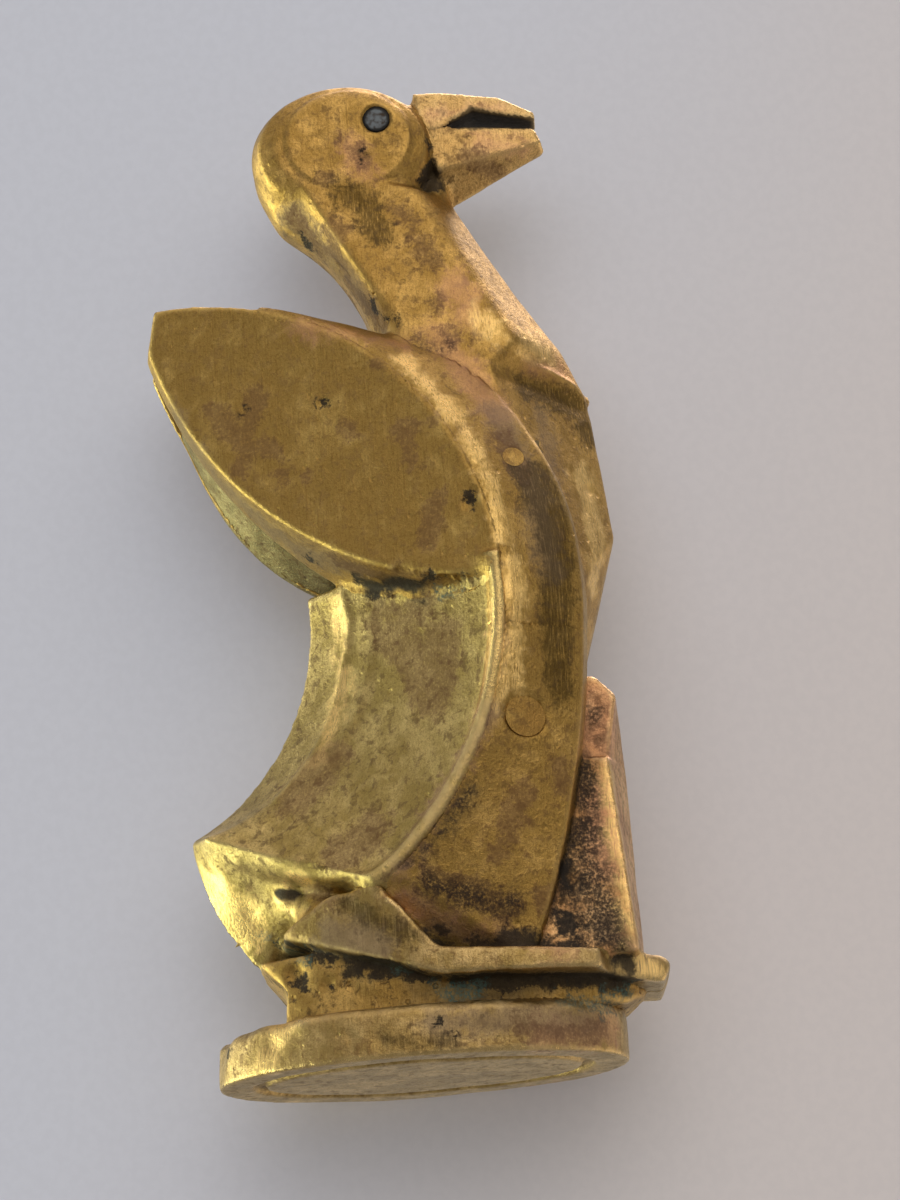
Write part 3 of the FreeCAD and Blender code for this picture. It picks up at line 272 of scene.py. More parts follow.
# What casting, filing and handling did to the skin, in mm. A place or path is followed by its width.
wornSkin = {
    "evenPasses": 5, "softPasses": 24,  # how long the whole figure and its softer places are rubbed
    "lumps": [(7.5, 0.11, 1), (2.8, 0.045, 2), (1.2, 0.014, 3)],  # width, height and number of the noise
    "castLumps": [(2.4, 0.16, 5), (1.1, 0.07, 6)],  # the same on the raw ground block and under the tail
    "softPlaces": [  # rubbed softer than the rest: x, y, z, radius
        (16, 7, 74, 3.5), (12, 8, 78, 4), (15, 4, 80, 4.5), (4, 7, 88, 4), (9.5, 14, 50.5, 2),
        (-6, 11, 16, 3), (2, 12.5, 13, 2.5), (20, 9, 10.5, 3), (-16, 8, 12, 3), (-19, 6, 5.5, 3),
    ],
    "roundedPaths": [  # corners that run into one another as rounded forms: path, half width, passes
        ([(8.6, 6, 93), (12.6, 7, 84), (16, 7.6, 77.6)], 3.4, 110), ([(18.6, 3, 78), (16, 5, 78)], 3, 110),
        ([(-7.6, 5.4, 93), (-4, 6.2, 86), (2.6, 7.6, 78)], 2.6, 110),
        ([(-10.8, 0, 97), (-9.4, 0, 93.7), (-7.6, 0, 91)], 3.4, 110),
        ([(2.2, 12.5, 72.6), (6, 13.4, 68.8), (9.4, 13.9, 64.7), (11.5, 14.8, 58.6),
          (12, 15.6, 51.9)], 0.8, 14), ([(7, 1, 106.7), (7, 4, 106.7)], 1.7, 60),
        ([(-13.5, 8.5, 13.6), (-6, 11.8, 12.6), (2, 13.6, 9.8), (12.6, 13.8, 9.6), (20, 9.4, 9.4),
          (25, 5.5, 9)], 1.5, 30), ([(-12.6, 8, 14.6), (-6, 12, 17.6), (-2.6, 13.2, 18)], 1.4, 30),
        ([(-14.5, 6, 14.5), (-12.4, 4.6, 18.6), (-7.6, 8, 18)], 2.4, 40),
        ([(-14, 1, 17.6), (-13, 3.4, 18), (-10, 6.6, 17.2)], 2.6, 160),
        ([(-14, 4.4, 19.6), (-12, 5, 19.4), (-9.4, 7.2, 18.4)], 1.7, 90),
    ],
    "raisedLines": [  # ridges: path, width, height
        ([(-1.9, 13.7, 15.9), (2.6, 13.6, 13), (5, 13.4, 11.9)], 0.7, 0.18),
        ([(12.6, 8.7, 74), (15.7, 6.6, 73.7), (18.7, 4.4, 73.3), (20.9, 2.6, 72.4),
          (22.3, 0, 71.2)], 0.62, 0.45),
        ([(-4.8, 4.2, 50.6), (-4.1, 4.5, 47.5), (-5.3, 4, 42.7), (-7, 4.1, 37.5), (-9.1, 4.4, 33.2),
          (-13, 4.7, 29.2)], 0.7, 0.28),
    ],
    "sunkLines": [  # creases under breast and wing, grooves of the bill, seam on the flank, nicks on the nape
        ([(13.4, -8.6, 72.2), (16.2, -6.8, 71.9), (19.4, -4.4, 71.2), (21.6, -2.2, 70.2)], 1.5, 0.34),
        ([(13.4, 8.6, 72.2), (16.2, 6.8, 71.9), (19.4, 4.4, 71.2), (21.6, 2.2, 70.2)], 1.5, 0.34),
        ([(8.6, -4.5, 102.3), (12.2, -3.9, 102.9)], 0.5, 0.4),
        ([(8.6, 4.5, 102.3), (12.2, 3.9, 102.9)], 0.5, 0.4),
        ([(1.6, -12.4, 50.4), (8, -14, 48.6)], 0.7, 0.5), ([(12.4, -15.5, 42.8), (15, -13.9, 43)], 0.4, 0.3),
        ([(12.4, 15.5, 42.8), (15, 13.9, 43)], 0.4, 0.3),
        ([(-2.6, -3.6, 87.8), (-1.4, -4.2, 86.2)], 0.5, 0.3),
        ([(1.8, -5.6, 80.4), (3, -6.8, 78.6)], 0.5, 0.3), ([(7.8, -5.6, 97.6), (9.3, -5, 95.6)], 0.7, 0.35),
        ([(-1.2, -6.6, 93.6), (0.2, -6.8, 91.2)], 1.2, 0.22),
    ],
    "dents": [  # dents and pits: x, y, z, radius, depth. A depth below zero is a lump
        (-20.6, -3, 5.2, 3.2, 0.9), (-18.5, -8, 5.4, 2.6, 0.6), (-14, -11, 5.4, 2.4, 0.45),
        (12, -12.6, 5.4, 1.8, 0.35), (4, -14.4, 5.3, 1.6, 0.3), (-3.9, -14.4, 1.8, 1, 0.22),
        (-6.9, -13.9, 2.4, 0.7, 0.2), (7.5, -13.8, 3.6, 0.8, 0.15), (17, -8.9, 5.2, 1.7, 0.4),
        (-12.2, -8.4, 10.1, 1.2, 0.9), (-9, -9.8, 8.4, 0.8, 0.35), (-6.4, -10.6, 8, 0.6, 0.3),
        (-6, -12.4, 15.2, 2.2, 0.25), (20.5, -6.2, 36.7, 0.6, 0.2), (20.9, -6.3, 33.5, 0.45, 0.15),
        (18.8, -8.2, 26.6, 0.45, 0.2), (-3.6, -6.3, 101.4, 0.5, 0.15), (0.9, -6.3, 98.9, 0.5, 0.5),
        (-0.6, -6.3, 99.6, 0.5, 0.12), (9.2, -15.1, 56.3, 0.75, 0.8), (9.7, -15.2, 57.5, 0.55, 0.5),
        (-5.2, -10.6, 69.8, 0.42, 0.5), (-13.6, -8, 70.5, 0.4, 0.3), (-14.6, -7.6, 60.6, 0.4, 0.3),
        (-20.6, -1.6, 22, 1.4, 0.25), (-19, -4.6, 19.6, 1.1, 0.3), (-17.6, -3, 17.6, 1.2, 0.3),
        (-16.2, -6.2, 18.6, 1, 0.25), (-18.4, -0.6, 14.6, 1.2, 0.25), (21, 5.8, 35, 0.8, 0.2),
        (-8, 9.8, 66, 0.5, 0.3), (4, 13.4, 60, 0.6, 0.25), (-16, 9, 5.4, 2.4, 0.5),
        (8, 13.4, 2.4, 1.2, 0.25), (16.6, 9.2, 60, 0.7, 0.2), (-12.4, -4.4, 18.9, 1.5, -0.8),
        (-12.4, 4.4, 18.9, 1.5, -0.8), (-10.2, -7.4, 17.6, 1.4, -0.35), (-14.6, -2.6, 18.4, 1.2, -0.3),
        (-17.4, -5.4, 22.6, 1.2, -0.25), (-11.6, -5.7, 13.4, 1.2, -0.3), (-15.4, -2.4, 14.8, 1, -0.25),
        (-15, -10.1, 2.9, 1.6, 0.3), (-19.4, -5.2, 2.6, 1.6, -0.2), (-11.4, -12, 4.4, 1.4, -0.2),
        (22.1, -3.3, 60.3, 0.8, 0.2), (21.2, -4.2, 57.6, 0.7, 0.15), (20.2, -5.6, 62, 0.6, 0.15),
    ],
}
# The flat of the cheek stands a little proud: centre, half axes and height.
cheek = {"x": -0.7, "z": 101.2, "long": 7.0, "tall": 5.9, "height": 0.22, "edge": 0.05, "side": 4.5}
# Each eye stud lies in a sunk round of the cheek. Rings: share of its radius and of its dome.
eyes = {
    "x": 2.5, "z": 103.2, "radius": 1.42, "rim": 0.3, "depth": 0.35, "face": 6.27, "dome": 0.08,
    "length": 2.0, "tuck": 0.1, "turns": 64, "rings": [(0.3, 1.0), (0.6, 0.9), (0.85, 0.6), (1.0, 0.0)],
}
# The sunk seam round the end of the leg pin.
pinRing = {"x": 13.1, "z": 33.9, "radius": 2.05, "width": 0.28, "depth": 0.26, "side": 11.0}
# The tail's dished sides, inside the figure's ridge circle: a lip along it, a fillet and a shallow floor.
dish = {
    "x": -24.6, "z": 46.9, "radius": 36.6, "depth": 0.8, "lip": 0.12, "lipWidth": 0.8, "floorFrom": 0.9,
    "floorTo": 13.2, "top": 49.4, "bottom": 17.5, "side": 3.2, "lowX": -20.8, "lowZ": 25.7, "slope": -0.612,
}
# Where the metal is left as it came from the mould: round the ground block, and less so under the tail.
rawCast = {"bottom": 5.6, "top": 11.5, "front": 15.5, "tailFront": -5.0, "tailBottom": 9.0, "tailShare": 0.35}


# 0 below 0, 1 above 1 and smooth between.
def smooth(values):
    values = np.clip(values, 0, 1)
    return values * values * (3 - 2 * values)


# How far each point stands above the tail's sloping lower edge.
def aboveTailEdge(points):
    return points[:, 2] - dish["lowZ"] - dish["slope"] * (points[:, 0] - dish["lowX"])


# Depth of the tail's dish at each point.
def tailDish(points):
    inset = dish["radius"] - np.hypot(points[:, 0] - dish["x"], points[:, 2] - dish["z"])
    floor = smooth((inset - dish["floorFrom"]) / 1.7) * (1 - 0.65 * smooth((inset - 4) / 7))
    floor = floor * (1 - smooth((inset - dish["floorTo"]) / 1.1))
    lip = smooth(inset / 0.3) * (1 - smooth((inset - dish["lipWidth"]) / 0.6))
    inside = smooth((dish["top"] - points[:, 2]) / 1.6) * smooth((aboveTailEdge(points) - 0.3) / 1.4)
    inside = inside * smooth((points[:, 2] - dish["bottom"]) / 3.0)
    inside = inside * smooth((np.abs(points[:, 1]) - dish["side"]) / 1.2)
    return inside * (dish["depth"] * floor - dish["lip"] * lip)


# 1 where the skin is raw casting, 0 where it is filed.
def rawShare(points):
    x, z = points[:, 0], points[:, 2]
    block = np.clip((z - rawCast["bottom"]) / 1.2, 0, 1) * np.clip((rawCast["top"] - z) / 2.5, 0, 1)
    block = block * np.clip((rawCast["front"] - x) / 4, 0, 1)
    tail = smooth((-0.4 - aboveTailEdge(points)) / 1.2) * smooth((rawCast["tailFront"] - x) / 4)
    return np.maximum(block, rawCast["tailShare"] * tail * smooth((z - rawCast["tailBottom"]) / 2))


# The worn skin: one surface round the whole figure, rubbed and dented as one.
nodes = list(cad)
skin = voxelMesh("skin", nodes, voxelSizes["skin"])
skinEdges = getEdges(skin)
points = rub(getPoints(skin), skinEdges, wornSkin["evenPasses"])
soft = np.zeros(len(points))
for x, y, z, radius in wornSkin["softPlaces"]:
    for side in (-1, 1):
        soft = np.maximum(soft, near(points, x, y * side, z, radius))
points = rubAt(points, skinEdges, soft, wornSkin["softPasses"])
for path, radius, passes in wornSkin["roundedPaths"]:
    soft = np.maximum(*[alongPath(points, hand, radius) for hand in bothHands(path)])
    points = rubAt(points, skinEdges, soft, passes)
setPoints(skin, points)
normals = getNormals(skin)
print("skin rubbed", len(points))

sideways = np.abs(points[:, 1])
push = sum(softNoise(points, scale, seed) * height for scale, height, seed in wornSkin["lumps"])
rawLumps = sum(softNoise(points, scale, seed) * height for scale, height, seed in wornSkin["castLumps"])
push += rawShare(points) * rawLumps
for x, y, z, radius, depth in wornSkin["dents"]:
    push -= depth * near(points, x, y, z, radius)
push -= tailDish(points)
ring = np.hypot((points[:, 0] - cheek["x"]) / cheek["long"], (points[:, 2] - cheek["z"]) / cheek["tall"])
onCheek = smooth((sideways - cheek["side"]) / 0.8)
push += cheek["height"] * smooth((1.0 - ring) / cheek["edge"]) * onCheek
ring = np.hypot(points[:, 0] - eyes["x"], points[:, 2] - eyes["z"])
push -= eyes["depth"] * smooth((eyes["radius"] + eyes["rim"] - ring) / eyes["rim"]) * onCheek
ring = np.abs(np.hypot(points[:, 0] - pinRing["x"], points[:, 2] - pinRing["z"]) - pinRing["radius"])
onFlank = smooth((sideways - pinRing["side"]) / 0.5)
push -= pinRing["depth"] * np.exp(-(ring / pinRing["width"]) ** 2) * onFlank
for path, width, height in wornSkin["raisedLines"]:
    for hand in bothHands(path):
        push += height * alongPath(points, hand, width)
for path, width, depth in wornSkin["sunkLines"]:
    push -= depth * alongPath(points, path, width)
points = points + normals * push[:, None]
setPoints(skin, points)

# Wear: how far each place stands out of its surroundings.
wide = rub(points, skinEdges, 6, 1.0)
stand = np.einsum("ij,ij->i", points - wide, getNormals(skin))
skinWear = rub(stand[:, None], skinEdges, 3, 0.6)[:, 0]
skinFaces = [tuple(polygon.vertices) for polygon in skin.polygons]
skinCorners = np.array([face[:3] for face in skinFaces])
skinTree = BVHTree.FromPolygons([tuple(p) for p in points], skinFaces)
print("skin", len(skinFaces))


shading = {"rays": 14, "reach": 5.0, "lift": 0.35, "turn": 2.399963}  # the golden angle spreads the rays


# Share of the sky that nearby metal hides, on a coarse copy of the skin; it is painted in as shade and dirt.
def shadeMap(reach, rays):
    coarse = voxelMesh("shade", nodes, voxelSizes["shade"])
    places = getPoints(coarse)
    outward = getNormals(coarse)
    spread = []
    for i in range(rays):
        turn = i * shading["turn"]
        lift = 1 - (i + 0.5) / rays * 0.95
        flat = math.sqrt(1 - lift * lift)
        spread.append((flat * math.cos(turn), flat * math.sin(turn), lift))
    hidden = np.zeros(len(places))
    finder = KDTree(len(places))
    for index in range(len(places)):
        normal = Vector(outward[index])
        finder.insert(places[index], index)
        if normal.length < 0.5:
            continue
        side = normal.orthogonal().normalized()
        other = normal.cross(side)
        start = Vector(places[index]) + normal * shading["lift"]
        blocked = 0
        for u, v, w in spread:
            if skinTree.ray_cast(start, side * u + other * v + normal * w, reach)[0] is not None:
                blocked += 1
        hidden[index] = blocked / rays
    finder.balance()
    hidden = rub(hidden[:, None], getEdges(coarse), 1)[:, 0]
    return finder, hidden


shadeFinder, shade = shadeMap(shading["reach"], shading["rays"])
print("shade", len(shade))


# Pieces: each node's own closed mesh, its outside laid on the worn skin. In mm: how deep a hidden face is
# tucked in, how far a face may lie from the skin, and how much a piece swells into its neighbour.
pieces = {}
seating = {"tuck": 0.10, "reach": 1.3, "swell": 0.22, "facing": 0.35}
# Painted shade: inside the open bill the metal is painted black, on the roof of its upper and the floor of
# its lower half, past x.
mouth = {"upperBill": -1, "lowerBill": 1, "root": 9.6}

# Where the metal is stained, coppery, rubbed bare, oxidised, black in grooves, darkened, green or filmed
# over,
# the same on both sides: a path and its half width, in mm. Bare places carry a painted highlight; oxidised
# places painted shade and dark reflection; grooves and darkened places dirt and painted shade. Deep places
# are painted shade: they turn black only where they are hidden.
zones = {
    "stain": [
        ([(-17.1, -6.9, 71.1), (-15.5, -7.4, 69.3), (-13.8, -7.9, 67), (-11.2, -8.7, 66)], 1.1),
        ([(-10.2, -9.1, 63), (-9.8, -9.2, 62.4)], 0.9), ([(-7.7, -9.8, 62)], 0.45),
        ([(3.1, -13.2, 65.3), (3.2, -13.2, 62.5)], 1.4), ([(-2.6, -11.4, 66.4)], 0.9),
        ([(5.8, -14.1, 65.9)], 0.5), ([(6.2, -14.1, 57.1), (4.3, -13.6, 53.1)], 1.3),
        ([(-4.7, -8.5, 53), (-0.6, -10.1, 50.9), (4.5, -12.5, 49.1)], 1.3),
        ([(0.3, -6.3, 99.4), (1.3, -6.3, 97.6)], 0.8), ([(-1.8, -6.3, 101.1)], 0.6),
        ([(-7, 3.9, 93.6), (-5.6, 3.4, 91.6), (-4.6, 2.6, 90)], 1.2), ([(0.9, -12.5, 73.2)], 0.8),
        ([(0.9, -8.5, 44.1), (3.8, -11.5, 37.7), (4.9, -11.6, 42.9)], 2.8),
        ([(-7.2, -5.9, 32.6), (-11.6, -5.6, 28.8)], 2.6), ([(-1, -7.1, 47.7), (3.3, -10.4, 47)], 1.6),
        ([(-3.5, -12, 23.5), (-6.6, -11.5, 21.8)], 2.4),
        ([(2.7, -12.9, 17.7), (6.1, -12.1, 16.3), (10.2, -11.1, 14.9)], 1.6),
        ([(15.3, -8.7, 17.6), (13.6, -10.4, 15.3)], 1.6), ([(16.2, -11.5, 28.8), (16, -11.3, 26.3)], 1.2),
        ([(-10.2, -5.9, 19.1), (-8, -11.6, 16.8)], 1.2),
        ([(10, -12.8, 2), (13.9, -10.9, 1), (18, -7.4, 2.2)], 1.2),
        ([(6.4, -7.1, 87.6), (7.2, -7.4, 85.4)], 1.1), ([(7, -7.9, 80.6)], 1.2),
        ([(8.4, -8.4, 76.4), (10.4, -8.4, 75.8)], 1.3), ([(3.4, -7, 92.4), (5.6, -7, 91)], 0.9),
        ([(-3.6, -6.6, 96.6)], 0.8), ([(-2.8, -6.8, 90), (-1.7, -2.5, 85.8), (0.8, -5, 81.2)], 1.6),
        ([(12.9, -12.4, 63.6), (14.7, -12.6, 60.2)], 1.6), ([(11.9, -12.5, 25.3), (9.4, -12.2, 20.4)], 1.5),
        ([(-12.4, -8.3, 71.5), (-14.5, -7.8, 64.1)], 1.2), ([(20.7, -6.2, 32.4)], 0.9),
        ([(12.3, -3.4, 98.8), (15.5, -0.5, 98)], 1.2),
    ],
    "copper": [
        ([(7.3, -8.3, 76.4), (10.3, -10.1, 71.8), (12.6, -11.1, 67.4)], 1.8),
        ([(9.5, -7.6, 82.4), (10.8, -8, 78.7)], 1.8), ([(-0.6, -6.3, 99.9), (1.2, -6.3, 97.2)], 1.2),
        ([(20.6, -6.2, 36.7), (20.7, -6.2, 32.4)], 2.4), ([(13.6, -3.1, 101.2), (17.9, -2.1, 100.1)], 1),
        ([(-1, -12.3, 16.1), (5.8, -10.8, 12.3), (14.6, -13.5, 10)], 1.3),
        ([(12.4, -11.7, 1.4), (19.1, -6, 2.4)], 1.6), ([(20, -3.1, 74), (16.8, -5.9, 73.9)], 1.2),
        ([(8.4, -4.2, 104.1), (16.1, -2.7, 104.9)], 0.5), ([(20.1, -8, 25.7), (20.5, -8.5, 19.3)], 2.2),
        ([(11.3, -16, 43.3), (7.3, -15.1, 31.3), (-0.7, -13.6, 18.9)], 0.9),
        ([(-7.1, -10.1, 78.3), (3.3, -10, 75.8)], 1),
    ],
    # Rubbed bare metal with a painted highlight along it.
    "bareAndHighlight": [
        ([(13.2, -15.2, 49.7), (13, -15.2, 43.4), (12.6, -14.4, 37.3)], 1),
        ([(21.4, -7.8, 28.8), (22.1, -9.3, 11.8)], 0.9), ([(-12.8, -11.2, 5), (-15.6, -9.7, 1.5)], 1.6),
        ([(-20.2, -1.3, 20.9), (-16.8, -1.4, 16.4)], 2.4), ([(-11, -8.2, 19.8)], 1.4),
        ([(3.2, -11.9, 73.5), (6.4, -13.2, 69), (9.6, -13.9, 64.6), (11.5, -14.8, 58.6),
          (12, -15.5, 52)], 0.8), ([(21.6, -4, 62), (21.8, -3.6, 56), (20.8, -4.4, 50)], 1.6),
        ([(12, -8.6, 78.5), (14, -7.8, 75.8), (18.6, -4.4, 75.4)], 1.3), ([(-12.4, -5, 18.9)], 1.2),
        ([(20.7, -7.6, 9.1), (24.1, -6.3, 7.5)], 1.6),
        ([(-5.7, -3.1, 50), (-5.2, -4.3, 41.4), (-8.3, -5.1, 32.9)], 0.8),
        ([(11, -16.2, 45.4), (10.7, -15, 36.3)], 1),
    ],
    # Dark oxide with painted dark reflection, and painted shade under the breast's ridge.
    "oxideShadeAndReflection": [
        ([(16.6, -12, 59.6), (17.8, -12.2, 54.7), (18, -12.6, 50.3), (17.6, -12.9, 45.9),
          (17, -12.9, 41.7)], 2.2), ([(16.6, -12.5, 38.5), (17, -12.1, 36.5)], 1.7),
        ([(-1.7, -6.4, 94.6), (0.1, -6.4, 94.2), (1.3, -6.6, 92.4), (1.6, -6.9, 89.5)], 1.6),
        ([(-5.8, -12.5, 15.9), (-3.6, -13.3, 14.3), (-0.2, -14.1, 12.1)], 1.1), ([(-6.5, -12.2, 16.3)], 1),
        ([(-2.9, -14.4, 1.7), (0, -14.5, 1), (3, -14.3, 1.3)], 0.7),
        ([(16.4, -7, 70.8), (19, -4.8, 70.6), (21.4, -2.5, 69.8), (22.6, -1.6, 67.4)], 1.9),
        ([(18.9, -7.8, 29), (17.2, -8.2, 22.7), (15.6, -8.9, 15.4)], 1),
        ([(14.7, -12.6, 60.2), (15.4, -13, 56.7)], 1.2),
    ],
    # Black in grooves, pits and crevices: partly dirt, partly painted shade.
    "grooveDirtAndShade": [
        ([(1.4, -10.3, 49.9), (4.5, -12.9, 49.2), (7.8, -14.7, 48.6)], 0.42),
        ([(7.8, -5.2, 100.8), (8.1, -4, 99.1), (6.7, -4.1, 96.4)], 0.55),
        ([(-14.3, -1.6, 14.6), (-9.5, -9.6, 11.7), (-4.3, -10.9, 10), (0.9, -11.5, 7.9)], 0.5),
        ([(-12.7, -8.1, 9.8), (-11.7, -8.6, 9)], 0.9), ([(-8.6, -9.8, 8.5)], 0.4),
        ([(-7, -10.3, 10.3)], 0.4), ([(8.4, -11, 6.9), (14.5, -9.3, 7.8), (18.5, -7.3, 7.3)], 1),
        ([(-5.2, -10.6, 69.8)], 0.3), ([(-13.6, -8, 70.5)], 0.25),
        ([(9.3, -15.1, 57.1), (9.1, -15.1, 55.8)], 0.55), ([(-6.5, -2.4, 91.7), (-5.9, -2.1, 91)], 0.5),
        ([(0.6, -6, 82.2), (2.6, -8, 79.2)], 0.45), ([(3.6, -14.3, 2.2)], 0.35), ([(2.2, -14.4, 3.5)], 0.3),
        ([(-7.7, -5.1, 54.5)], 0.6), ([(-19.8, -4.8, 3)], 0.5), ([(0.9, -6.3, 98.9)], 0.3),
    ],
    # Dark patina with painted shade, mostly on the recessed leg.
    "darkPatinaAndShade": [
        ([(5.8, -8.6, 75.8), (7.6, -8.6, 75)], 0.8), ([(20.7, -6.2, 35.4)], 0.7),
        ([(2.4, -12.8, 17), (6.6, -11.9, 15.8), (10.5, -11.4, 15)], 1.3),
        ([(6.9, -14.1, 26.4), (3.5, -13.8, 22.1), (0.4, -13.7, 19.8)], 0.7),
        ([(18.6, -7.6, 29.5), (18.6, -8.2, 24), (17.6, -8.7, 17.4)], 1.4),
        ([(17.9, -8.6, 20.4), (18.7, -8.9, 15.2), (19.6, -9.3, 11.4)], 2.1),
        ([(16.6, -8.9, 15.4), (16.8, -9.3, 11.7)], 1.5), ([(20.4, -8.6, 18.2)], 0.9),
    ],
    "green": [
        ([(2.2, -11.5, 7.2), (3.8, -11.5, 6.7), (5.8, -11.3, 6.8)], 0.9),
        ([(15.2, -9.5, 5.1), (18.3, -6.6, 5.1), (21.5, -4.5, 6.5)], 1),
        ([(5.4, -12.1, 47.9), (7.3, -13.5, 47.7)], 0.5),
        ([(-15, -1.8, 15.6), (-13.3, -3.3, 13.7), (-11.5, -8.7, 11.7)], 0.6), ([(-1.5, -11.3, 9.4)], 0.4),
    ],
    "film": [
        ([(-21.2, 4.6, 71.2), (-16.5, 4.4, 63.3), (-12, 4.8, 58), (-7.9, 6, 54.4), (-2.7, 9, 51.8)], 1.7),
        ([(-7.6, 4.2, 93.4), (-5.4, 3, 89.6), (-1.5, 4, 83)], 2.2),
        ([(13, -12.2, 67), (16, -12.4, 58.5), (16.8, -12.8, 49.5)], 1.9),
        ([(17.6, -7.4, 69.4), (18.2, -6.5, 64.6), (17.6, -7.6, 60)], 1.6),
        ([(9.6, -15.1, 34.5), (7.3, -15.1, 31.3), (3, -14.3, 24.4), (-0.7, -13.6, 18.9)], 0.9),
        ([(-8.5, -11.6, 13.2), (-3.6, -12.9, 11.6)], 2), ([(19.9, -9.3, 11.9), (23.6, -6.6, 9)], 1.8),
        ([(2, -14.4, 3), (10, -13, 3), (17, -8.6, 3)], 1.6), ([(-8, 1, 92.3)], 1),
    ],
    # Painted shade: black in the open bill, under the chin, under the wings and round foot and leg, where
    # hidden.
    "deep": [
        ([(10.5, 0, 102.8), (20.5, 0, 103.4)], 4.2), ([(-2, 9, 51), (8, 13.5, 49.2)], 2.6),
        ([(8, 3.6, 97)], 1.7), ([(-14, 8, 12), (-5, 11.5, 12), (5, 12, 9.5), (20, 6, 8.6)], 3),
        ([(16, 8, 13), (16.6, 8, 18)], 2),
    ],
}


def writeAttribute(mesh, name, values):
    attribute = mesh.attributes.new(name, "FLOAT", "POINT")
    attribute.data.foreach_set("value", values.astype(np.float32))


# How deep each point lies inside the nearest zone, in mm, less than 0 outside.
def zoneValues(points, rows):
    folded = points * np.array([1.0, 0.0, 1.0]) + np.abs(points) * np.array([0.0, 1.0, 0.0])
    best = np.full(len(points), -3.0)
    for path, radius in rows:
        path = [np.array([x, abs(y), z]) for x, y, z in path]
        for start, finish in zip(path, path[1:] or path):
            run = finish - start
            length = run @ run
            share = np.clip((folded - start) @ run / length, 0, 1) if length > 0 else np.zeros(len(points))
            distance = np.linalg.norm(folded - start - share[:, None] * run, axis=1)
            best = np.maximum(best, radius - distance)
    return best


def addPiece(name, mesh, node):
    mesh.polygons.foreach_set("use_smooth", np.ones(len(mesh.polygons), bool))
    piece = bpy.data.objects.new(name, mesh)
    bpy.context.scene.collection.objects.link(piece)
    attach(piece, "root")
    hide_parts(node)
    pieces[name] = piece
    print("piece", name, len(mesh.polygons))


# A closed piece: faces that show lie on the skin, hidden faces swell a little into the neighbour.
def castPiece(name, node, lift):
    mesh = voxelMesh(name, [node], voxelSizes["piece"])
    edges = getEdges(mesh)
    places = rub(getPoints(mesh), edges, 2)
    setPoints(mesh, places)
    outward = getNormals(mesh)
    places = places + outward * seating["swell"]
    wear = np.zeros(len(places))
    grimeAndShade = np.zeros(len(places))
    for index in range(len(places)):
        place = Vector(places[index])
        found, facing, face, distance = skinTree.find_nearest(place)
        outside = (place - found).dot(facing)
        same = facing.dot(Vector(outward[index]))
        if distance < seating["reach"] and same > seating["facing"]:
            places[index] = found + facing * lift
        elif outside > -seating["tuck"]:
            places[index] = found - facing * seating["tuck"]
        wear[index] = skinWear[skinCorners[face]].mean()
        # Painted shade and dirt: each vertex takes the share of hidden sky from the coarse shade map.
        blend = shadeFinder.find_n(place, 3)
        weights = [1 / (0.05 + hit[2]) for hit in blend]
        grimeAndShade[index] = sum(w * shade[hit[1]] for w, hit in zip(weights, blend)) / sum(weights)
    setPoints(mesh, places)
    writeAttribute(mesh, "wear", wear)
    writeAttribute(mesh, "grimeAndShade", grimeAndShade)
    # Painted shade: black inside the open bill.
    inward = getNormals(mesh)[:, 2] * mouth.get(name, 0)
    writeAttribute(mesh, "mouth", np.where((inward > 0.5) & (places[:, 0] > mouth["root"]), 2.5, -5.0))
    for kind, rows in zones.items():
        writeAttribute(mesh, kind, zoneValues(places, rows))
    addPiece(name, mesh, node)


# The castings: CAD node, and how far the piece lies above the skin in mm, so that no two pieces share a face.
castings = {
    "innerBody": ("inner_body", -0.02), "plinthPiece": ("plinth", 0.0), "groundPiece": ("ground", 0.006),
    "tailPiece": ("tail", 0.006), "headNeckBreast": ("head_neck_and_breast", 0.0),
    "lowerBill": ("lower_bill", 0.006), "upperBill": ("upper_bill", 0.012),
}
sideCastings = {"foot": 0.012, "leg": 0.006, "flank": 0.012, "shoulder": 0.018, "wing": 0.024}
for side in ("right", "left"):
    for part, lift in sideCastings.items():
        castings[part + side.capitalize()] = (part + "_" + side, lift)
for name, (node, lift) in castings.items():
    castPiece(name, node, lift)


# A round stud with a low dome, its edge under the rim of the cheek. Side is -1 on the right, 1 on the left.
def eyeStud(name, node, side):
    turns = eyes["turns"]
    rings = [(share, eyes["face"] + eyes["dome"] * lift) for share, lift in eyes["rings"]]
    rings.append((1.0, eyes["face"] - eyes["length"]))
    vertices = [(eyes["x"], side * (eyes["face"] + eyes["dome"]), eyes["z"])]
    for share, away in rings:
        reach = share * (eyes["radius"] + eyes["tuck"])
        for turn in range(turns):
            angle = 2 * math.pi * turn / turns
            x, z = eyes["x"] + reach * math.cos(angle), eyes["z"] + reach * math.sin(angle)
            vertices.append((x, side * away, z))
    faces = [(0, 1 + turn, 1 + (turn + 1) % turns) for turn in range(turns)]
    for row in range(len(rings) - 1):
        low, high = 1 + row * turns, 1 + (row + 1) * turns
        faces += [(low + turn, high + turn, high + (turn + 1) % turns, low + (turn + 1) % turns)
                  for turn in range(turns)]
    faces.append(tuple(len(vertices) - 1 - turn for turn in range(turns)))
    if side > 0:
        faces = [tuple(reversed(face)) for face in faces]
    mesh = bpy.data.meshes.new(name)
    mesh.from_pydata([tuple(c * mm for c in vertex) for vertex in vertices], [], faces)
    rim = [math.hypot(x - eyes["x"], z - eyes["z"]) / eyes["radius"] for x, y, z in vertices]
    writeAttribute(mesh, "rim", np.array(rim))
    addPiece(name, mesh, node)


eyeStud("eyeRight", "eye_right", -1)
eyeStud("eyeLeft", "eye_left", 1)


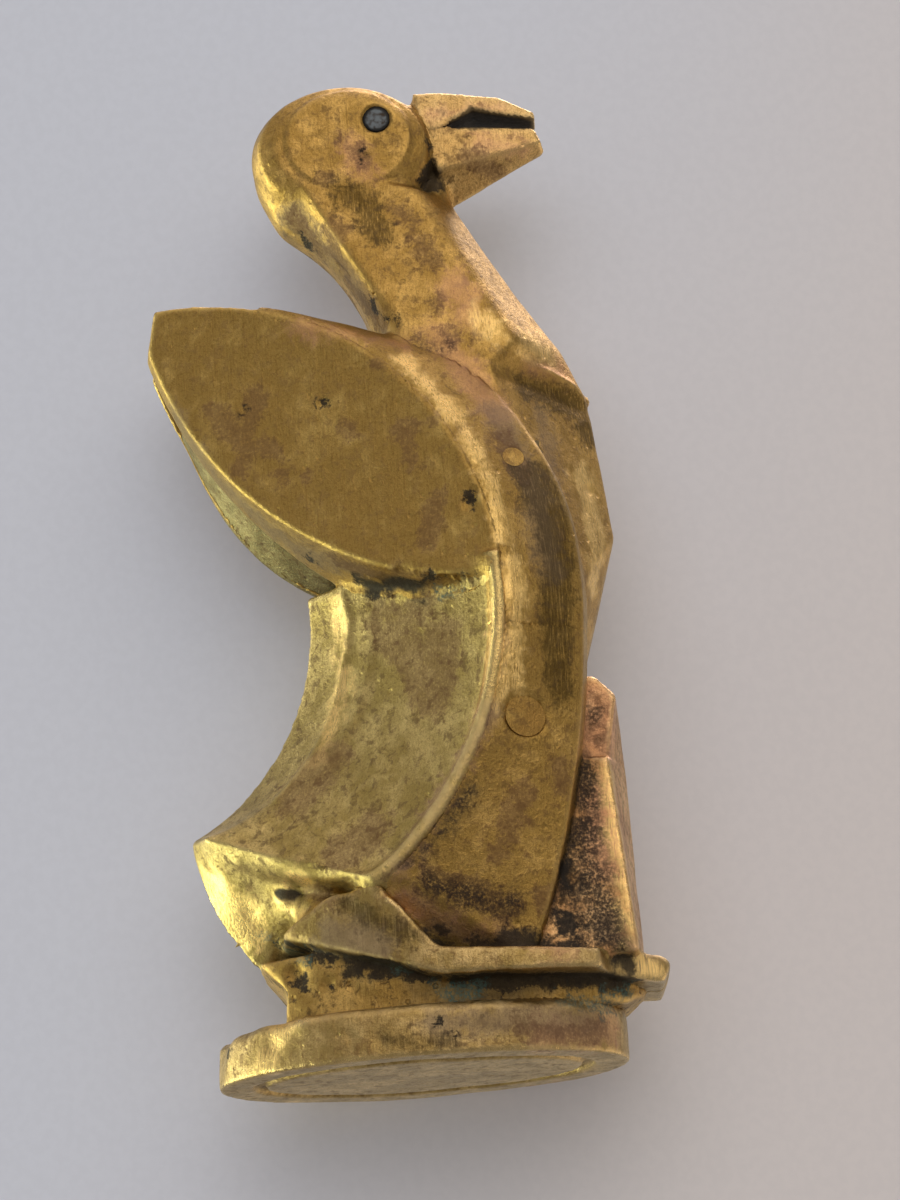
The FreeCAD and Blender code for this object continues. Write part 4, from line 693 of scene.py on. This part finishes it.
# Adds one shader node. Its inputs, by place or name, are numbers, sRGB hex colours or other nodes' outputs.
def addNode(tree, kind, inputs=(), out=0, **settings):
    node = tree.nodes.new("ShaderNode" + kind)
    for name, value in settings.items():
        setattr(node, name, value)
    for key, value in inputs.items() if isinstance(inputs, dict) else enumerate(inputs):
        if isinstance(value, bpy.types.NodeSocket):
            tree.links.new(value, node.inputs[key])
        elif isinstance(value, str):
            node.inputs[key].default_value = linear(value) + [1.0]
        else:
            node.inputs[key].default_value = value
    return node.outputs[out] if len(node.outputs) else None


# Patterns added up, each with its weight, on top of a start value.
def weigh(tree, start, *parts, clamp=False):
    for pattern, weight in parts:
        start = addNode(tree, "Math", (pattern, weight, start), operation="MULTIPLY_ADD", use_clamp=clamp)
    return start


def newMaterial(name):
    material = bpy.data.materials.new(name)
    material.use_nodes = True
    material.node_tree.nodes.clear()
    return material, material.node_tree


softly = {"interpolation_type": "SMOOTHSTEP"}  # Map Range from 0 to 1 without a hard edge
times = {"operation": "MULTIPLY"}
highest = {"operation": "MAXIMUM"}

# Old cast brass: the colours of the bare metal, of what lies on it and of painted highlight, reflection and
# shade, and how much of each shows.
brassLook = {
    "clean": "#D8B168", "dull": "#A88748", "brown": "#72542C", "copper": "#D39C7C", "blackDirtAndShade": "#1A130C",
    "bareAndHighlight": "#FCD486", "film": "#76624C", "verdigris": "#50695F", "stain": "#5E3A1E", "oxideShadeAndReflection": "#43341A",
    "darkPatinaAndShade": "#23160C", "tarnish": 0.60, "mottle": 0.6, "brownFrom": 0.50, "blackFrom": 0.57, "blackTo": 0.95,
    "wearFrom": 0.055, "wearTo": 0.135, "brush": 0, "brushDepth": 0.030, "polish": 0.18, "pitDepth": 0.07,
    "crust": 0.0, "zoned": True,
}
# Patterns in the metal: size in mm, detail, its roughness and twist. The finest is the mould's sand grain.
metalPatterns = {
    "broad": (10.0, 4.0, 0.55, 0.0), "cloud": (2.94, 6.0, 0.62, 0.5), "patch": (1.11, 6.0, 0.68, 0.3),
    "fine": (0.3125, 5.0, 0.65, 0.0), "grain": (0.111, 2.0, 0.55, 0.0),
}
fileMark = {"width": 1 / 6, "length": 10 / 3}  # mm; real marks are half as wide, too fine to show
pitSpacing = 2.38  # mm from one casting pit to the next
# How softly each zone ends, in mm, and the pattern that breaks it up, with where that begins and is full.
zoneEdges = {
    "copper": (1.3,), "film": (1.2,), "mouth": (0.3,), "deep": (0.6, "hidden", 0.24, 0.34),
    "bareAndHighlight": (0.9, "marks", 0.30, 0.55), "oxideShadeAndReflection": (0.8, "marks", 0.24, 0.52),
    "stain": (0.6, "fine", 0.22, 0.50), "darkPatinaAndShade": (1.5, "fine", 0.28, 0.56),
    "grooveDirtAndShade": (0.34, "fine", 0.22, 0.46), "green": (0.5, "fine", 0.36, 0.60),
}


# Cast brass, filed by hand and handled for decades. Light runs along the file marks, rubbed edges stay bright
# and yellow, flats are dull and brown, copper shows where zinc has gone, and corners hold black dirt and
# painted shade. Painted highlights, dark reflections and shade lie on it in zones.
def castBrass(name, **changes):
    look = {**brassLook, **changes}
    material, tree = newMaterial(name)
    position = addNode(tree, "TexCoord", (), "Object")
    position = addNode(tree, "VectorMath", (position, [1 / mm] * 3), **times)  # in mm
    noise = {}
    for kind, (lump, detail, roughness, twist) in metalPatterns.items():
        noise[kind] = addNode(tree, "TexNoise", {"Vector": position, "Scale": 1 / lump, "Detail": detail,
                                                 "Roughness": roughness, "Distortion": twist})
    scale = (1 / fileMark["width"], 1 / fileMark["width"], 1 / fileMark["length"])
    turned = addNode(tree, "Mapping", {"Vector": position, "Rotation": (0, math.radians(look["brush"]), 0),
                                       "Scale": scale})
    noise["marks"] = addNode(tree, "TexNoise", {"Vector": turned, "Scale": 1.0, "Detail": 4.0,
                                                "Roughness": 0.65})
    grimeAndShade = addNode(tree, "Attribute", (), "Fac", attribute_name="grimeAndShade")
    wear = addNode(tree, "Attribute", (), "Fac", attribute_name="wear")
    # The share of hidden sky, broken up by a cloud pattern: painted shade and dirt in corners.
    noise["hidden"] = weigh(tree, grimeAndShade, (noise["cloud"], 0.30))

    # Zone edges wander by a millimetre or two, in waves and in small crumbs.
    wander = weigh(tree, -4.75, (noise["cloud"], 5.0), (noise["patch"], 3.2), (noise["fine"], 1.3))
    zone = {}
    for kind, (soft, *broken) in zoneEdges.items():
        depth = addNode(tree, "Attribute", (), "Fac", attribute_name=kind) if look["zoned"] else -5.0
        depth = addNode(tree, "Math", (wander, depth), operation="ADD")
        zone[kind] = addNode(tree, "MapRange", (depth, -soft, soft), **softly)
        if broken:
            grit = addNode(tree, "MapRange", (noise[broken[0]], broken[1], broken[2]), **softly)
            zone[kind] = addNode(tree, "Math", (zone[kind], grit), **times)

    # Black collects in corners, in hollows, in grooves and pits, in the open bill and, on raw castings, as
    # scabs.
    # In corners, hollows, grooves and pits it is partly dirt and partly painted shade; in deep places and in
    # the open bill it is painted shade.
    corner = addNode(tree, "MapRange", (noise["hidden"], look["blackFrom"], look["blackTo"]), **softly)
    # Hollows, where the skin is concave: dark dirt and painted shade.
    hollow = weigh(tree, 0.0, (noise["patch"], 0.06), (wear, -1.0))
    hollow = addNode(tree, "MapRange", (hollow, 0.075, 0.17), **softly)
    scab = addNode(tree, "MapRange", (noise["patch"], 0.54, 0.66), **softly)
    blackDirtAndShade = 0.0
    for mask, share in ((corner, 1.0), (zone["deep"], 1.0), (hollow, 0.8), (zone["grooveDirtAndShade"], 1.0),
                        (zone["mouth"], 1.0), (scab, look["crust"])):
        blackDirtAndShade = addNode(tree, "Math", (blackDirtAndShade, weigh(tree, 0.0, (mask, share))), **highest)
    rubbed = weigh(tree, wear, (noise["patch"], 0.05))
    rubbed = addNode(tree, "MapRange", (rubbed, look["wearFrom"], look["wearTo"]), **softly)
    rubbed = addNode(tree, "Math", (rubbed, weigh(tree, 1.0, (blackDirtAndShade, -0.7))), **times)

    # The coats in the order in which they lie, painted highlight, reflection and shade among them: mask,
    # share, colour and how matt each one makes the metal.
    tarnish = weigh(tree, 0.0, (noise["broad"], 0.4), (noise["cloud"], 0.6))
    tarnish = addNode(tree, "MapRange", (tarnish, look["tarnish"] - 0.2, look["tarnish"] + 0.04), **softly)
    colour = addNode(tree, "Mix", {0: tarnish, 6: look["dull"], 7: look["clean"]}, 2, data_type="RGBA")
    brown = {}
    for kind, low, high in (("patch", look["brownFrom"], look["brownFrom"] + 0.14), ("fine", 0.50, 0.66),
                            ("marks", 0.50, 0.70), ("grain", 0.44, 0.62)):
        brown[kind] = addNode(tree, "MapRange", (noise[kind], low, high), **softly)
    matt = 0.0
    for mask, share, coat, dulling in (
            (brown["patch"], look["mottle"], "brown", 0.4), (brown["fine"], 0.40, "brown", 0.0),
            (brown["marks"], 0.34, "brown", 0.0), (brown["grain"], 0.26, "brown", 0.0),
            (zone["copper"], 0.42, "copper", 0.0), (zone["film"], 0.62, "film", 0.7),
            (zone["bareAndHighlight"], 0.85, "bareAndHighlight", 0.0), (zone["stain"], 0.55, "stain", 0.8),
            (zone["oxideShadeAndReflection"], 0.72, "oxideShadeAndReflection", 0.0), (zone["darkPatinaAndShade"], 0.9, "darkPatinaAndShade", 1.0),
            (blackDirtAndShade, 0.93, "blackDirtAndShade", 1.0), (zone["green"], 0.7, "verdigris", 1.0), (rubbed, 0.8, "clean", 0.0)):
        cover = addNode(tree, "Math", (mask, share), **times)
        colour = addNode(tree, "Mix", {0: cover, 6: colour, 7: look[coat]}, 2, data_type="RGBA")
        if dulling:
            matt = addNode(tree, "Math", (matt, weigh(tree, 0.0, (mask, dulling))), **highest)

    metallic = weigh(tree, 1.0, (matt, -0.55), clamp=True)
    roughness = weigh(tree, look["polish"], (noise["marks"], 0.24), (noise["fine"], 0.20), (matt, 0.24),
                      (rubbed, -0.16), (zone["bareAndHighlight"], -0.13), clamp=True)
    pit = addNode(tree, "TexVoronoi", {"Vector": position, "Scale": 1 / pitSpacing}, "Distance")
    pit = weigh(tree, pit, (noise["patch"], 0.10))
    pit = addNode(tree, "MapRange", (pit, 0.09, 0.20, 1.0, 0.0), **softly)
    height = weigh(tree, 0.0, (noise["marks"], look["brushDepth"]), (noise["patch"], 0.12),
                   (noise["fine"], 0.050), (noise["grain"], 0.010), (pit, -look["pitDepth"]), (blackDirtAndShade, -0.05))
    bump = addNode(tree, "Bump", {"Strength": 1.0, "Distance": mm, "Height": height})
    shader = addNode(tree, "BsdfPrincipled", {"Base Color": colour, "Metallic": metallic,
                                              "Roughness": roughness, "Normal": bump})
    addNode(tree, "OutputMaterial", (shader,))
    return material


# What differs from piece to piece. "brush" is the slope of the file marks in degrees.
looks = {
    "plinthPiece": dict(brush=90, pitDepth=0.10, clean="#DCBC80", dull="#AC9058"),
    "groundPiece": dict(brushDepth=0.0, crust=0.55, blackFrom=0.51, blackTo=0.87, pitDepth=0.14, polish=0.24),
    "foot": dict(brush=60, clean="#D2B47C", dull="#A0864E"),
    "leg": dict(brownFrom=0.46, pitDepth=0.12, clean="#F0C48C", dull="#C09060"),
    # The inner body between the wings has a darker, greyer brass: painted shade.
    "innerBody": dict(polish=0.26, brush=-50, clean="#9A8C62", dull="#6F6442", brushDepth=0.06, crust=0.3),
    "headNeckBreast": dict(brush=-32, polish=0.19, mottle=0.55, clean="#DEB468", dull="#AE8A48"),
    "upperBill": dict(brush=90, clean="#F4D090", dull="#DCB474"),
    "lowerBill": dict(brush=90, clean="#F0C884", dull="#D0A868"),
    "wing": dict(brush=20, tarnish=0.66, polish=0.24, clean="#D0AE66", mottle=0.4),
    "shoulder": dict(tarnish=0.64, brush=8),
    "flank": dict(tarnish=0.64, brush=-14),
    "tailPiece": dict(brush=30, dull="#A89052", clean="#D4B978", brown="#6E5632", mottle=0.75),
}
for part, changes in looks.items():
    for name in castings:
        if name in (part, part + "Right", part + "Left"):
            pieces[name].data.materials.append(castBrass(name + "Brass", **changes))

pinMetal = castBrass("pinBrass", clean="#D8B062", dull="#B0894A", zoned=False)
for node in ("leg_pin", "shoulder_pin", "neck_dowel", "plinth_dowels", "bill_dowels"):
    cad[node].data.materials.clear()
    cad[node].data.materials.append(pinMetal)

studLook = {"grey": "#5A6064", "rust": "#2A1C0E", "rim": "#0E0C0A", "speck": 5 / 7, "metallic": 0.5,
            "roughness": 0.45}  # the specks in mm


# Blackened steel: a half matt grey face with rusty specks, and a black ring of painted shade round its rim,
# where it sits sunk in the cheek.
def blackenedSteel(name):
    material, tree = newMaterial(name)
    place = addNode(tree, "TexCoord", (), "Object")
    speck = addNode(tree, "TexNoise", {"Vector": place, "Scale": 1 / (studLook["speck"] * mm), "Detail": 4.0,
                                       "Roughness": 0.55})
    rust = addNode(tree, "MapRange", (speck, 0.4, 0.7), **softly)
    colour = addNode(tree, "Mix", {0: rust, 6: studLook["grey"], 7: studLook["rust"]}, 2, data_type="RGBA")
    # Painted shade: black round the rim.
    edge = weigh(tree, addNode(tree, "Attribute", (), "Fac", attribute_name="rim"), (speck, 0.25))
    edge = addNode(tree, "MapRange", (edge, 0.80, 1.02), **softly)
    colour = addNode(tree, "Mix", {0: edge, 6: colour, 7: studLook["rim"]}, 2, data_type="RGBA")
    shader = addNode(tree, "BsdfPrincipled", {"Base Color": colour, "Roughness": studLook["roughness"],
                                              "Metallic": studLook["metallic"]})
    addNode(tree, "OutputMaterial", (shader,))
    return material


studMetal = blackenedSteel("eyeStudOxide")
for name in ("eyeRight", "eyeLeft"):
    pieces[name].data.materials.append(studMetal)
print("materials")

# The paper beside the figure and the floor under it. The tones run from one lower corner to the other:
# painted light, cool on one side and warm on the other.
paper = {"cool": "#B5B7BE", "warm": "#BBB4B1", "fibre": "#84848A", "fibreWidth": 10 / 9, "fibreShare": 0.06,
         "slant": -0.4, "reach": 0.05, "glow": 0.22, "behind": 0.0168, "below": -0.0001, "size": 2}


# Matt rag paper with a painted glow of its own, which lightens its shadows, and clear when it is seen from
# behind. Real fibres are too fine to show, so they are drawn a millimetre wide.
def ragPaper(name):
    material, tree = newMaterial(name)
    place = addNode(tree, "TexCoord", (), "Object")
    fibre = addNode(tree, "TexNoise", {"Vector": place, "Scale": 1 / (paper["fibreWidth"] * mm),
                                       "Detail": 3.0, "Roughness": 0.55})
    fibre = addNode(tree, "MapRange", (fibre, 0.35, 0.65, 0.0, paper["fibreShare"]), **softly)
    # Painted light: the tone runs from cool to warm across the sheet.
    slant = addNode(tree, "VectorMath", (place, (1, 0, paper["slant"])), "Value", operation="DOT_PRODUCT")
    slant = addNode(tree, "MapRange", (slant, -paper["reach"], paper["reach"]), **softly)
    tone = addNode(tree, "Mix", {0: slant, 6: paper["cool"], 7: paper["warm"]}, 2, data_type="RGBA")
    colour = addNode(tree, "Mix", {0: fibre, 6: tone, 7: paper["fibre"]}, 2, data_type="RGBA")
    matt = addNode(tree, "BsdfDiffuse", {"Color": colour})
    # Painted light: the paper glows a little, as if lit from all sides.
    glow = addNode(tree, "Emission", {"Color": tone, "Strength": paper["glow"]})
    lit = addNode(tree, "AddShader", (matt, glow))
    clear = addNode(tree, "BsdfTransparent")
    behind = addNode(tree, "NewGeometry", (), "Backfacing")
    addNode(tree, "OutputMaterial", (addNode(tree, "MixShader", (behind, lit, clear)),))
    return material


def stageSheet(name, corners):
    mesh = bpy.data.meshes.new(name)
    mesh.from_pydata(corners, [], [(0, 1, 2, 3)])
    sheet = bpy.data.objects.new(name, mesh)
    bpy.context.scene.collection.objects.link(sheet)
    mesh.materials.append(ragPaper(name + "Paper"))
    sheet.visible_diffuse = False
    sheet.visible_glossy = False
    sheet.visible_transmission = False
    sheet.visible_shadow = False


square = [(-paper["size"], -paper["size"]), (paper["size"], -paper["size"]), (paper["size"], paper["size"]),
          (-paper["size"], paper["size"])]
stageSheet("paperSheet", [(x, paper["behind"], z) for x, z in square])
stageSheet("floorSheet", [(x, y, paper["below"]) for x, y in square])
print("stage")

# The lamps: a large soft one in front and a small one behind. Place, width, power and colour.
lamps = {
    "skyLight": ((-0.15, -1.0, 0.38), 1.0, 4.4, "#EEF3FF"),
    "backFill": ((0.35, 0.55, 0.30), 0.5, 1.9, "#FFFFFF"),
}
figureMiddle = Vector((0.0, 0.0, 0.055))
for name, (place, width, power, code) in lamps.items():
    light = bpy.data.lights.new(name, "AREA")
    light.shape = "DISK"
    light.size = width
    light.energy = power
    light.color = linear(code)
    lamp = bpy.data.objects.new(name, light)
    bpy.context.scene.collection.objects.link(lamp)
    lamp.location = place
    lamp.rotation_euler = (figureMiddle - Vector(place)).to_track_quat("-Z", "Y").to_euler()
    lamp.visible_glossy = False

# The room: what the camera sees of it, its dim walls, and the soft bright patches that the metal mirrors.
# Each patch: direction, where it begins and is full as cosines, strength and colour.
room = {"seen": "#BABCC2", "walls": "#949290", "patches": [
    ((-0.93, 0.25, -0.22), 0.94, 0.985, 8.0, "#F2FFD8"), ((-0.92, -0.20, 0.20), 0.60, 0.98, 0.22, "#E6F0FF"),
    ((-0.86, 0.42, 0.24), 0.92, 0.98, 2.0, "#F4F8E0"), ((-0.20, -0.25, 0.94), 0.90, 0.98, 1.0, "#FFF6EE"),
    ((0.30, 0.45, 0.84), 0.88, 0.985, 4.6, "#FFF2EE"), ((0.26, -0.86, 0.44), 0.80, 0.97, 1.35, "#FFF4E4"),
    ((0.0, 1.0, 0.0), 0.1, 0.7, 0.14, "#F2F2F6"), ((0.80, 0.30, -0.30), 0.85, 0.97, 0.8, "#FFEBD0"),
]}
world = bpy.data.worlds.new("paleRoom")
bpy.context.scene.world = world
world.use_nodes = True
tree = world.node_tree
tree.nodes.clear()
direction = addNode(tree, "TexCoord", (), "Generated")
total = addNode(tree, "Background", {"Color": room["walls"]})
for centre, edge, core, strength, code in room["patches"]:
    facing = addNode(tree, "VectorMath", (direction, Vector(centre).normalized()), "Value",
                     operation="DOT_PRODUCT")
    shine = addNode(tree, "MapRange", (facing, edge, core, 0.0, strength), **softly)
    patch = addNode(tree, "Background", {"Color": code, "Strength": shine})
    total = addNode(tree, "AddShader", (total, patch))
straight = addNode(tree, "LightPath", (), "Is Camera Ray")
seen = addNode(tree, "Background", {"Color": room["seen"]})
addNode(tree, "OutputWorld", (addNode(tree, "MixShader", (straight, total, seen)),))
print("lights and room")

# The camera looks up at the right side from a little below, with the photograph's slight roll.
view = {"rise": 16, "roll": 4.5, "aim": (0.0064, 0, 0.0504), "distance": 0.4, "lens": 113.28, "sensor": 36}
camera = bpy.data.cameras.new("photoCamera")
camera.sensor_width = view["sensor"]
camera.lens = view["lens"]
camera.clip_start = 0.01
camera.clip_end = 20
viewer = bpy.data.objects.new("photoCamera", camera)
bpy.context.scene.collection.objects.link(viewer)
rise = math.radians(view["rise"])
roll = math.radians(view["roll"])
ahead = Vector((0, math.cos(rise), math.sin(rise)))
right = Vector((1, 0, 0))
up = Vector((0, -math.sin(rise), math.cos(rise)))
across = right * math.cos(roll) - up * math.sin(roll)
above = right * math.sin(roll) + up * math.cos(roll)
turn = Matrix((across, above, -ahead)).transposed().to_4x4()
viewer.matrix_world = Matrix.Translation(Vector(view["aim"]) - ahead * view["distance"]) @ turn
bpy.context.scene.camera = viewer
bpy.context.scene.view_settings.view_transform = "Standard"
print("camera")
